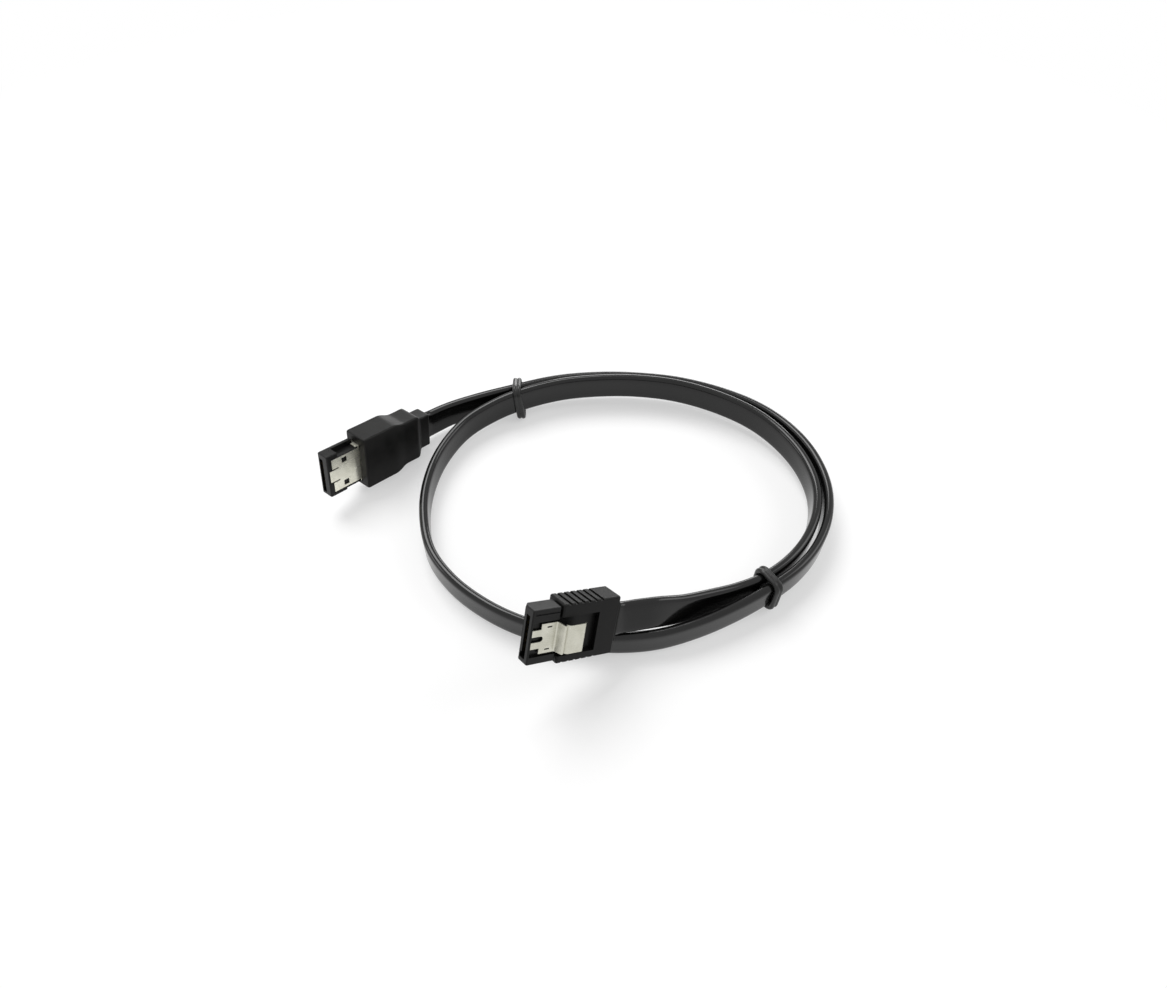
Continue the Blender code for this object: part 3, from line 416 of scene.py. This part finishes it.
def spread(tree, value, low, high, start=0.3, end=0.7):
    """A noise value stretched to the given span."""
    item = node(tree, "ShaderNodeMapRange")
    item.inputs["From Min"].default_value = start
    item.inputs["From Max"].default_value = end
    item.inputs["To Min"].default_value = low
    item.inputs["To Max"].default_value = high
    tree.links.new(value, item.inputs["Value"])
    return item.outputs["Result"]


def blend(tree, value, dark, light, start=0.3, end=0.7):
    """Colour that goes from dark to light with a noise value."""
    ramp = node(tree, "ShaderNodeValToRGB")
    ramp.color_ramp.elements[0].position = start
    ramp.color_ramp.elements[0].color = (*dark, 1)
    ramp.color_ramp.elements[1].position = end
    ramp.color_ramp.elements[1].color = (*light, 1)
    tree.links.new(value, ramp.inputs["Fac"])
    return ramp.outputs["Color"]


def stretched(tree, scales=(1, 1, 1), source="Object", turn=(0, 0, 0)):
    """Coordinates in metres, turned by a plug's angles and then stretched by the given scales."""
    coordinates = node(tree, "ShaderNodeTexCoord")
    mapping = node(tree, "ShaderNodeMapping")
    mapping.vector_type = "TEXTURE"
    mapping.inputs["Rotation"].default_value = [math.radians(angle) for angle in turn]
    mapping.inputs["Scale"].default_value = [1 / scale for scale in scales]
    tree.links.new(coordinates.outputs[source], mapping.inputs["Vector"])
    return mapping.outputs["Vector"]


def bump(tree, value, depth, before=None):
    """Bump of the given depth in metres."""
    item = node(tree, "ShaderNodeBump")
    item.inputs["Strength"].default_value = 1.0
    item.inputs["Distance"].default_value = depth
    tree.links.new(value, item.inputs["Height"])
    if before is not None:
        tree.links.new(before, item.inputs["Normal"])
    return item.outputs["Normal"]


def material(name, metallic=0.0, specular=0.5):
    """New material with its node tree and its shader."""
    item = bpy.data.materials.new(name)
    item.use_nodes = True
    tree = item.node_tree
    shader = tree.nodes["Principled BSDF"]
    shader.inputs["Metallic"].default_value = metallic
    shader.inputs["Specular IOR Level"].default_value = specular
    shader.inputs["IOR"].default_value = 1.5
    return item, tree, shader


def finish_with(tree, shader, colour, roughness, normal):
    tree.links.new(colour, shader.inputs["Base Color"])
    tree.links.new(roughness, shader.inputs["Roughness"])
    tree.links.new(normal, shader.inputs["Normal"])


def jacket_material():
    """Glossy black PVC: faint lines along the extrusion, slow waves and a little dust."""
    item, tree, shader = material("glossy_pvc", specular=0.33)
    along = stretched(tree, JACKET_LINE_SCALES, "UV")
    slow = stretched(tree, JACKET_WAVE_SCALES, "UV")
    local = stretched(tree)
    lines = noise(tree, along, 1.0, detail=3.0)
    waves = noise(tree, slow, 1.0, detail=2.0)
    dust = noise(tree, local, JACKET_DUST_SCALE, detail=2.0, roughness=0.7)
    colour = blend(tree, waves, dark=(0.0032, 0.0032, 0.0032), light=(0.0068, 0.0067, 0.0065))
    roughness = spread(tree, lines, low=0.1, high=0.19)
    normal = bump(tree, lines, JACKET_LINE_DEPTH)
    normal = bump(tree, waves, JACKET_WAVE_DEPTH, normal)
    normal = bump(tree, dust, JACKET_DUST_DEPTH, normal)
    finish_with(tree, shader, colour, roughness, normal)
    return item


def moulded_material(name, dark, light, smooth, rough, grain, depth, specular):
    """Moulded plastic: spark-eroded grain in two sizes, with slow changes of tone and sheen."""
    item, tree, shader = material(name, specular=specular)
    local = stretched(tree)
    patches = noise(tree, local, PATCH_SCALE, detail=3.0)
    fine = noise(tree, local, grain, detail=3.0, roughness=0.65)
    coarse = noise(tree, local, grain / COARSE_SIZE_FACTOR, detail=2.0)
    colour = blend(tree, patches, dark, light)
    roughness = spread(tree, patches, smooth, rough)
    normal = bump(tree, fine, depth)
    normal = bump(tree, coarse, depth * COARSE_DEPTH_FACTOR, normal)
    finish_with(tree, shader, colour, roughness, normal)
    return item


def metal_material(name, dark, light, smooth, rough, scales, metallic, depth, turn=(0, 0, 0)):
    """Plated metal: rolled lines one way and faint clouding."""
    item, tree, shader = material(name, metallic=metallic)
    rolled = noise(tree, stretched(tree, scales, turn=turn), 1.0, detail=4.0, roughness=0.6)
    clouds = noise(tree, stretched(tree), CLOUD_SCALE, detail=3.0)
    colour = blend(tree, clouds, dark, light)
    roughness = spread(tree, rolled, smooth, rough)
    normal = bump(tree, rolled, depth)
    normal = bump(tree, clouds, depth * CLOUD_DEPTH_FACTOR, normal)
    finish_with(tree, shader, colour, roughness, normal)
    return item


def nickel_material(name, painted_light_level, turn):
    """Nickel rolled along a plug's X, its colour scaled by the given level. The level is painted light: it
    lightens or darkens the same nickel to stand for how much light falls on each plug's metal.
    """
    return metal_material(
        f"nickel_{name}",
        dark=[NICKEL_DARK[channel] * painted_light_level for channel in range(3)],
        light=[NICKEL_LIGHT[channel] * painted_light_level for channel in range(3)],
        smooth=0.24, rough=0.36, scales=NICKEL_SCALES, metallic=0.9, depth=0.0000012, turn=turn,
    )


JACKET = jacket_material()
MOULDING = moulded_material(
    "satin_moulding", dark=(0.0026, 0.0026, 0.0024), light=(0.0055, 0.0053, 0.0049),
    smooth=0.34, rough=0.47, grain=8200, depth=0.000006, specular=0.16,
)
HOUSING = moulded_material(
    "housing_plastic", dark=(0.003, 0.003, 0.003), light=(0.006, 0.006, 0.0057),
    smooth=0.26, rough=0.4, grain=9500, depth=0.000003, specular=0.2,
)
TIE = moulded_material(
    "tie_rubber", dark=(0.005, 0.005, 0.005), light=(0.01, 0.01, 0.0095),
    smooth=0.24, rough=0.4, grain=6000, depth=0.000004, specular=0.36,
)
BLUE = moulded_material(
    "blue_insulation", dark=(0.06, 0.15, 0.42), light=(0.1, 0.22, 0.55),
    smooth=0.35, rough=0.5, grain=7000, depth=0.000003, specular=0.5,
)
# Painted light and shade: the external shield's nickel is made lighter and the latch's nickel darker, to
# stand for how light falls on each, not for a difference in the metal
ESATA_NICKEL_PAINTED_LIGHT = nickel_material("shield", 1.16, ESATA_TURN)
SATA_NICKEL_PAINTED_SHADE = nickel_material("latch", 0.78, SATA_TURN)
GOLD = metal_material(
    "gold_plate", dark=(0.78, 0.56, 0.22), light=(0.88, 0.66, 0.3),
    smooth=0.2, rough=0.36, scales=(4000, 4000, 4000), metallic=1.0, depth=0.000001,
)
TINNED = metal_material(
    "tinned_strands", dark=(0.62, 0.6, 0.56), light=(0.8, 0.78, 0.74),
    smooth=0.28, rough=0.5, scales=(5200, 5200, 900), metallic=1.0, depth=0.000012,
)


# Camera

def make_camera():
    """Camera at the height, distance and roll that the photo was fitted with."""
    data = bpy.data.cameras.new("camera")
    data.sensor_fit = "HORIZONTAL"
    data.sensor_width = SENSOR_WIDTH
    data.lens = FOCAL_PIXELS / PHOTO_WIDTH * SENSOR_WIDTH
    data.clip_start = NEAR_CLIP
    camera = bpy.data.objects.new("camera", data)
    bpy.context.scene.collection.objects.link(camera)
    elevation = math.radians(CAMERA_ELEVATION)
    roll = math.radians(CAMERA_ROLL)
    forward = Vector((0, math.cos(elevation), -math.sin(elevation)))
    right = Vector((1, 0, 0))
    up = right.cross(forward)
    right, up = (
        right * math.cos(roll) + up * math.sin(roll),
        up * math.cos(roll) - right * math.sin(roll),
    )
    turn = Matrix((right, up, -forward)).transposed().to_4x4()
    camera.matrix_world = Matrix.Translation(-forward * CAMERA_DISTANCE - LAY_CENTRE) @ turn
    bpy.context.scene.camera = camera


# Ribbon

def smooth_curve(knots, samples_per_span):
    """Dense points on a centripetal Catmull-Rom curve through the knots."""
    first = [2 * a - b for a, b in zip(knots[0], knots[1])]
    last = [2 * a - b for a, b in zip(knots[-1], knots[-2])]
    rows = [first, *knots, last]
    dense = []
    for index in range(1, len(rows) - 2):
        p0, p1, p2, p3 = (Vector(row) for row in rows[index - 1:index + 3])
        t1 = (p1 - p0).xyz.length ** 0.5
        t2 = t1 + (p2 - p1).xyz.length ** 0.5
        t3 = t2 + (p3 - p2).xyz.length ** 0.5
        for step in range(samples_per_span):
            t = t1 + (t2 - t1) * step / samples_per_span
            a1 = p0 * ((t1 - t) / t1) + p1 * (t / t1)
            a2 = p1 * ((t2 - t) / (t2 - t1)) + p2 * ((t - t1) / (t2 - t1))
            a3 = p2 * ((t3 - t) / (t3 - t2)) + p3 * ((t - t2) / (t3 - t2))
            b1 = a1 * ((t2 - t) / t2) + a2 * (t / t2)
            b2 = a2 * ((t3 - t) / (t3 - t1)) + a3 * ((t - t1) / (t3 - t1))
            dense.append(b1 * ((t2 - t) / (t2 - t1)) + b2 * ((t - t1) / (t2 - t1)))
    dense.append(Vector(rows[-2]))
    return dense


def even_points(dense, count):
    """Points an even length apart along a dense line of (x, y, z, lean)."""
    lengths = [0.0]
    for a, b in zip(dense, dense[1:]):
        lengths.append(lengths[-1] + (b - a).xyz.length)
    picked = []
    index = 0
    for number in range(count):
        wanted = lengths[-1] * number / (count - 1)
        while index < len(dense) - 2 and lengths[index + 1] < wanted:
            index += 1
        share = (wanted - lengths[index]) / (lengths[index + 1] - lengths[index])
        picked.append(dense[index].lerp(dense[index + 1], share))
    return picked


def ribbon_line():
    """Middle line of the ribbon between the plugs, in millimetres, with its lean."""
    knots = []
    for x in (ESATA_COLLAR_START - FACE_GAP, ESATA_COLLAR_START - FACE_GAP - RIBBON_LEAD):
        knots.append((*(ESATA_FRAME @ Vector((x * MM, 0, 0)) / MM), ESATA_LEAN))
    for x, y, height, lean in RIBBON_ROUTE:
        knots.append((*(Vector((x, y, height)) - LAY_CENTRE / MM), lean))
    for x in (SATA_COLLAR_START - FACE_GAP - RIBBON_LEAD, SATA_COLLAR_START - FACE_GAP):
        knots.append((*(SATA_FRAME @ Vector((x * MM, SATA_RIBBON_SIDE * MM, 0)) / MM), SATA_LEAN))
    return even_points(smooth_curve(knots, CURVE_SAMPLES), RIBBON_RINGS)


def stadium(width, thickness):
    """Section of the ribbon as (across, up) points round a stadium."""
    radius = thickness / 2
    rise = width / 2 - radius
    ring = []
    for sign, start in ((1, 0.0), (-1, math.pi)):
        for step in range(ROUND_STEPS + 1):
            angle = start + math.pi * step / ROUND_STEPS
            ring.append((radius * math.cos(angle), sign * rise + radius * math.sin(angle)))
        for step in range(1, FLAT_STEPS):
            ring.append((-sign * radius, sign * rise * (1 - 2 * step / FLAT_STEPS)))
    return ring


def sweep(name, stations, section, closed=False):
    """Skin of a section carried along (place, across, up) stations, with UVs in metres."""
    shape = bmesh.new()
    layer = shape.loops.layers.uv.new("UVMap")
    rings = []
    for place, across, up in stations:
        rings.append([shape.verts.new((place + across * a + up * u) * MM) for a, u in section])
    around = [0.0]
    for (a, b), (c, d) in zip(section, section[1:] + section[:1]):
        around.append(around[-1] + math.hypot(c - a, d - b) * MM)
    along = [0.0]
    pairs = list(zip(stations, stations[1:] + (stations[:1] if closed else [])))
    for (first, _, _), (second, _, _) in pairs:
        along.append(along[-1] + (second - first).length * MM)
    count = len(section)
    for row in range(len(pairs)):
        near, far = rings[row], rings[(row + 1) % len(rings)]
        for column in range(count):
            after = (column + 1) % count
            face = shape.faces.new((near[column], near[after], far[after], far[column]))
            places = (
                (along[row], around[column]), (along[row], around[column + 1]),
                (along[row + 1], around[column + 1]), (along[row + 1], around[column]),
            )
            for loop, place in zip(face.loops, places):
                loop[layer].uv = place
    if not closed:
        shape.faces.new(rings[0][::-1])
        shape.faces.new(rings[-1])
    bmesh.ops.recalc_face_normals(shape, faces=shape.faces)
    mesh = bpy.data.meshes.new(name)
    shape.to_mesh(mesh)
    shape.free()
    mesh.shade_smooth()
    mesh.set_sharp_from_angle(angle=math.radians(SHARP_RIBBON_ANGLE))
    piece = bpy.data.objects.new(name, mesh)
    bpy.context.scene.collection.objects.link(piece)
    return piece


def make_ribbon():
    """Ribbon along its line, upright but for its lean, and the line itself in metres."""
    line = ribbon_line()
    stations = []
    for index, knot in enumerate(line):
        ahead = line[min(index + 1, len(line) - 1)].xyz
        behind = line[max(index - 1, 0)].xyz
        direction = (ahead - behind).normalized()
        side = direction.cross(Vector((0, 0, 1))).normalized()
        up = side.cross(direction)
        turn = Matrix.Rotation(math.radians(knot.w), 3, direction)
        stations.append((knot.xyz, turn @ side, turn @ up))
    ribbon = sweep("ribbon", stations, stadium(RIBBON_WIDTH, RIBBON_THICKNESS))
    dress(ribbon, JACKET, "cable", "jacket", "ribbon_jacket")
    return ribbon, [knot.xyz * MM for knot in line]


# Ring ties

def tie_section():
    """Two round ridges side by side, with a valley between them."""
    radius = TIE_THICKNESS / 2
    apart = TIE_WIDTH / 2 - radius
    ring = []
    for sign in (1, -1):
        for step in range(TIE_RIDGE_STEPS + 1):
            angle = math.radians(TIE_RIDGE_ANGLE * (2 * step / TIE_RIDGE_STEPS - 1))
            ring.append((sign * radius * math.sin(angle), sign * (apart + radius * math.cos(angle))))
    return ring


def make_tie(name, strands):
    """Closed ring, snug over two strands, with its top leaning along the ribbon."""
    first, second = (Vector(RIBBON_ROUTE[number][:3]) - LAY_CENTRE / MM for number in strands)
    across = (second - first).xy.to_3d()
    middle = ((first + second) / 2).xy.to_3d()
    reach = RIBBON_THICKNESS / 2 + TIE_GAP + TIE_THICKNESS / 2
    rise = (RIBBON_WIDTH - RIBBON_THICKNESS) / 2
    low = TIE_THICKNESS / 2 + reach
    side = across.length / 2
    corners = [(side, second.z + rise), (-side, first.z + rise), (-side, low), (side, low)]
    lean = math.atan2(corners[0][1] - corners[1][1], corners[0][0] - corners[1][0])
    starts = (0.0, math.pi / 2 + lean, math.pi, math.pi * 3 / 2)
    ends = (math.pi / 2 + lean, math.pi, math.pi * 3 / 2, math.pi * 2)
    across.normalize()
    axis = across.cross(Vector((0, 0, 1)))
    stations = []
    for (out, up), start, end in zip(corners, starts, ends):
        for step in range(TIE_CORNER_STEPS + 1):
            angle = start + (end - start) * step / TIE_CORNER_STEPS
            outward = across * math.cos(angle) + Vector((0, 0, math.sin(angle)))
            place = middle + across * out + Vector((0, 0, up)) + outward * reach
            place += axis * TIE_LEAN[name] * (place.z - low)
            stations.append((place, outward, axis))
    ring = sweep(f"{name}_ring", stations, tie_section(), closed=True)
    dress(ring, TIE, "cable", "tie", name)
    return ring


# Both plugs

def contact_grooves(middle, ends, heights):
    """Boxes to cut for the row of contacts."""
    rows = []
    for number in range(CONTACT_COUNT):
        y = middle + (number - (CONTACT_COUNT - 1) // 2) * CONTACT_PITCH
        rows.append(((ends[0], y - GROOVE_SIDE, heights[0]), (ends[1], y + GROOVE_SIDE, heights[1])))
    return rows


# External plug

def rounded_section(width, thickness, corner):
    """Section of the moulded body as (y, z) points."""
    ring = []
    for quarter in range(4):
        side_y = (1, -1, -1, 1)[quarter]
        side_z = (1, 1, -1, -1)[quarter]
        centre_y = side_y * (width / 2 - corner)
        centre_z = side_z * (thickness / 2 - corner)
        for step in range(CORNER_STEPS + 1):
            angle = math.pi / 2 * (quarter + step / CORNER_STEPS)
            ring.append((centre_y + corner * math.cos(angle), centre_z + corner * math.sin(angle)))
    return ring


def make_esata_body():
    """Moulded body through its sections, with its pocket and bore."""
    points = []
    for x, width, thickness in ESATA_SECTIONS:
        points += [(x, y, z) for y, z in rounded_section(width, thickness, MOULD_CORNER)]
    count = 4 * (CORNER_STEPS + 1)
    faces = [tuple(range(count))[::-1], tuple(range(len(points) - count, len(points)))]
    for row in range(len(ESATA_SECTIONS) - 1):
        for column in range(count):
            a = row * count + column
            b = row * count + (column + 1) % count
            faces.append((a, b, b + count, a + count))
    body = new_object("external_body", points, faces, ESATA_FRAME)
    carve(body, [ESATA_POCKET, ESATA_WIRE_BORE], ESATA_FRAME)
    shade(body, angle=34)
    dress(body, MOULDING, "cable", "moulding", "esata_overmould")


def make_esata_nose():
    """Housing with the slot, the bed of the shield's tongue and the steps of its sides."""
    nose = block("external_nose", *ESATA_NOSE, ESATA_FRAME, ESATA_NOSE_ROUNDING, steps=3)
    combine(nose, [block("core", *ESATA_CORE, ESATA_FRAME)], "UNION")
    carve(nose, [
        ESATA_TONGUE_BED, ESATA_FINGER_BED, ESATA_LOW_STEP, ESATA_HIGH_STEP, ESATA_SLOT,
        *contact_grooves(ESATA_CONTACT_MIDDLE, ESATA_GROOVE_ENDS, ESATA_GROOVE_HEIGHTS),
    ], ESATA_FRAME)
    soften(nose, FINE_EDGE)
    dress(nose, HOUSING, "cable", "housing", "esata_insulator")


def make_esata_shield():
    """Sleeve with a tongue of three fingers, two square windows and the sleeve's upper corner."""
    shield = block("external_shield", *SHIELD_SKIN, ESATA_FRAME, SHIELD_ROUNDING, steps=3)
    rows = [SHIELD_HOLLOW, SHIELD_OPEN_FRONT]
    cut_low, cut_high = SHIELD_CUT_HEIGHTS
    window_low, window_high = SHIELD_WINDOW_HEIGHTS
    window_start, window_end = SHIELD_WINDOW_ENDS
    for sign in (-1, 1):
        for start, end, near, far in SHIELD_SIDE_CUTS:
            low, high = sorted((SHIELD_MIDDLE + sign * near, SHIELD_MIDDLE + sign * far))
            rows.append(((start, low, cut_low), (end, high, cut_high)))
        middle = SHIELD_MIDDLE + sign * SHIELD_WINDOW_MIDDLE
        rows.append((
            (window_start, middle - SHIELD_WINDOW_SIDE, window_low),
            (window_end, middle + SHIELD_WINDOW_SIDE, window_high),
        ))
    carve(shield, rows, ESATA_FRAME)
    combine(shield, [block("corner", *SHIELD_CORNER, ESATA_FRAME)], "UNION")
    soften(shield, METAL_EDGE)
    dress(shield, ESATA_NICKEL_PAINTED_LIGHT, "cable", "nickel", "esata_shield")


# Internal plug

def make_sata_body():
    """Moulded body with its collar, grip ridges on both long sides and the latch's window."""
    body = block("internal_body", *SATA_BODY, SATA_FRAME, SATA_BODY_ROUNDING, steps=4)
    collar = block("collar", *SATA_COLLAR, SATA_FRAME, SATA_COLLAR_ROUNDING, steps=3)
    combine(body, [collar], "UNION")
    rows = []
    for x in GRIP_PLACES:
        for low, high in ((-GRIP_CUT_SIDE, -GRIP_FLOOR), (GRIP_FLOOR, GRIP_CUT_SIDE)):
            rows.append(((x, low, -GRIP_CUT_HEIGHT), (x + GRIP_WIDTH, high, GRIP_CUT_HEIGHT)))
    carve(body, [*rows, SATA_WINDOW, SATA_POCKET, SATA_WIRE_BORE], SATA_FRAME)
    soften(body, GRIP_EDGE)
    dress(body, MOULDING, "cable", "moulding", "sata_body")
    return body


def make_sata_nose():
    """Housing with the keyed slot, a chamfered lower lip and the bed of the latch."""
    nose = block("internal_nose", *SATA_NOSE, SATA_FRAME, SATA_NOSE_ROUNDING, steps=3)
    combine(nose, [block("core", *SATA_CORE, SATA_FRAME)], "UNION")
    (_, _, lip_height), (lip_place, _, _) = SATA_NOSE
    lip = Matrix.Translation((lip_place * MM, 0, lip_height * MM)) @ Matrix.Rotation(math.pi / 4, 4, "Y")
    corner = Vector((SATA_NOSE_CHAMFER, CHAMFER_CUT_SIDE, SATA_NOSE_CHAMFER))
    combine(nose, [block("cutter", -corner, corner, SATA_FRAME @ lip)], "DIFFERENCE")
    carve(nose, [
        SATA_LATCH_BED, SATA_SLOT, SATA_KEY, SATA_SIDE_GROOVE,
        *contact_grooves(SATA_CONTACT_MIDDLE, SATA_GROOVE_ENDS, SATA_GROOVE_HEIGHTS),
    ], SATA_FRAME)
    soften(nose, FINE_EDGE)
    dress(nose, HOUSING, "cable", "housing", "sata_insulator")
    return nose


def latch_outline():
    """Side view of the strip's middle line, x and z, with rounded bends."""
    line = []
    for index, (x, z, radius) in enumerate(LATCH_CORNERS):
        here = Vector((x, z))
        if not radius:
            line.append(here)
            continue
        before = Vector(LATCH_CORNERS[index - 1][:2]) - here
        after = Vector(LATCH_CORNERS[index + 1][:2]) - here
        reach = min(radius, before.length * LATCH_BEND_SHARE, after.length * LATCH_BEND_SHARE)
        start = here + before.normalized() * reach
        end = here + after.normalized() * reach
        for step in range(LATCH_BEND_STEPS + 1):
            t = step / LATCH_BEND_STEPS
            line.append(start * (1 - t) ** 2 + here * 2 * t * (1 - t) + end * t ** 2)
    return line


def make_latch():
    """Folded strip with two hooks at its tip, a round notch between them and two small slots."""
    line = latch_outline()
    points = []
    for index, here in enumerate(line):
        ahead = line[min(index + 1, len(line) - 1)]
        behind = line[max(index - 1, 0)]
        direction = (ahead - behind).normalized()
        normal = Vector((-direction.y, direction.x)) * LATCH_THICKNESS / 2
        low_side = LATCH_TAB_LOW_SIDE if here.x < LATCH_TAB_END else LATCH_LOW_SIDE
        for side in (low_side, LATCH_HIGH_SIDE):
            for sign in (1, -1):
                x, z = here + normal * sign
                points.append((x, side, z))
    faces = [(0, 1, 3, 2), tuple(len(points) - 4 + n for n in (0, 2, 3, 1))]
    for row in range(len(line) - 1):
        a = row * 4
        b = a + 4
        faces += [(a, a + 2, b + 2, b), (a + 1, b + 1, b + 3, a + 3), (a, b, b + 1, a + 1)]
        faces.append((a + 2, a + 3, b + 3, b + 2))
    latch = new_object("latch", points, faces, SATA_FRAME)
    carve(latch, LATCH_CUTS, SATA_FRAME)
    notch = drum("cutter", LATCH_ROUND_CUT, LATCH_ROUND_CUT_RADIUS, LATCH_ROUND_CUT_REACH, SATA_FRAME)
    combine(latch, [notch], "DIFFERENCE")
    soften(latch, METAL_EDGE, angle=50)
    dress(latch, SATA_NICKEL_PAINTED_SHADE, "latch", "nickel", "sata_latch")
    return latch


# Contacts and wire ends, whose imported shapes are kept

def dress_kept_nodes():
    """Gives the contacts and wire ends their metal and insulation."""
    for name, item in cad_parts.items():
        if "_contact_" in name:
            finish = GOLD
        elif "_signal_wire_" in name:
            finish = BLUE
        elif "_ground_wire_" in name:
            finish = TINNED
        else:
            continue
        item.data.materials.clear()
        item.data.materials.append(finish)


# Floor and light

def seen_directly(tree):
    """One where a camera, glossy or transmission ray looks."""
    path = node(tree, "ShaderNodeLightPath")
    first = node(tree, "ShaderNodeMath", operation="MAXIMUM")
    second = node(tree, "ShaderNodeMath", operation="MAXIMUM")
    tree.links.new(path.outputs["Is Camera Ray"], first.inputs[0])
    tree.links.new(path.outputs["Is Glossy Ray"], first.inputs[1])
    tree.links.new(first.outputs[0], second.inputs[0])
    tree.links.new(path.outputs["Is Transmission Ray"], second.inputs[1])
    return second.outputs[0]


def glow_share(tree):
    """Share of the floor's own light: a part of it near the cable and all of it far away."""
    place = node(tree, "ShaderNodeNewGeometry")
    distance = node(tree, "ShaderNodeVectorMath", operation="LENGTH")
    tree.links.new(place.outputs["Position"], distance.inputs[0])
    glowing = spread(tree, distance.outputs["Value"], FLOOR_GLOW, 1.0, *FLOOR_FADE)
    share = node(tree, "ShaderNodeMath", operation="MULTIPLY")
    tree.links.new(seen_directly(tree), share.inputs[0])
    tree.links.new(glowing, share.inputs[1])
    return share.outputs[0]


def make_floor():
    """White floor that keeps the shadow near the part and is all lit by itself far from it."""
    item, tree, shader = material("white_floor", specular=0.0)
    shader.inputs["Base Color"].default_value = (FLOOR_WHITE, FLOOR_WHITE, FLOOR_WHITE, 1)
    shader.inputs["Roughness"].default_value = FLOOR_ROUGHNESS
    glow = node(tree, "ShaderNodeEmission")
    glow.inputs["Color"].default_value = (1, 1, 1, 1)
    glow.inputs["Strength"].default_value = 1.0
    mix = node(tree, "ShaderNodeMixShader")
    tree.links.new(glow_share(tree), mix.inputs[0])
    tree.links.new(shader.outputs[0], mix.inputs[1])
    tree.links.new(glow.outputs[0], mix.inputs[2])
    tree.links.new(mix.outputs[0], tree.nodes["Material Output"].inputs["Surface"])
    mesh = bpy.data.meshes.new("floor")
    corners = [(x * FLOOR_REACH, y * FLOOR_REACH, 0) for x, y in ((-1, -1), (1, -1), (1, 1), (-1, 1))]
    mesh.from_pydata(corners, [], [(0, 1, 2, 3)])
    mesh.materials.append(item)
    floor = bpy.data.objects.new("floor", mesh)
    bpy.context.scene.collection.objects.link(floor)


def make_world():
    """Even soft light, with a white sky where it is seen or mirrored."""
    world = bpy.data.worlds.new("world")
    world.use_nodes = True
    tree = world.node_tree
    soft = tree.nodes["Background"]
    soft.inputs["Color"].default_value = (1, 1, 1, 1)
    soft.inputs["Strength"].default_value = WORLD_LEVEL
    white = node(tree, "ShaderNodeBackground")
    white.inputs["Color"].default_value = (1, 1, 1, 1)
    mix = node(tree, "ShaderNodeMixShader")
    tree.links.new(seen_directly(tree), mix.inputs[0])
    tree.links.new(soft.outputs[0], mix.inputs[1])
    tree.links.new(white.outputs[0], mix.inputs[2])
    tree.links.new(mix.outputs[0], tree.nodes["World Output"].inputs["Surface"])
    bpy.context.scene.world = world


def make_lamp(name, place, size, watts):
    """Rectangular lamp that looks at the row frame's middle."""
    data = bpy.data.lights.new(name, "AREA")
    data.shape = "RECTANGLE"
    data.size = size[0]
    data.size_y = size[1]
    data.energy = watts
    lamp = bpy.data.objects.new(name, data)
    bpy.context.scene.collection.objects.link(lamp)
    lamp.location = place
    lamp.rotation_euler = (-Vector(place)).to_track_quat("-Z", "Y").to_euler()


make_camera()
ribbon, ribbon_path = make_ribbon()
ties = [make_tie(name, strands) for name, strands in TIE_STRANDS.items()]
make_esata_body()
make_esata_nose()
make_esata_shield()
internal = [make_sata_body(), make_sata_nose(), make_latch()]
dress_kept_nodes()
make_floor()
make_world()
for lamp in LAMPS:
    make_lamp(*lamp)
bpy.context.scene.view_settings.view_transform = "Standard"

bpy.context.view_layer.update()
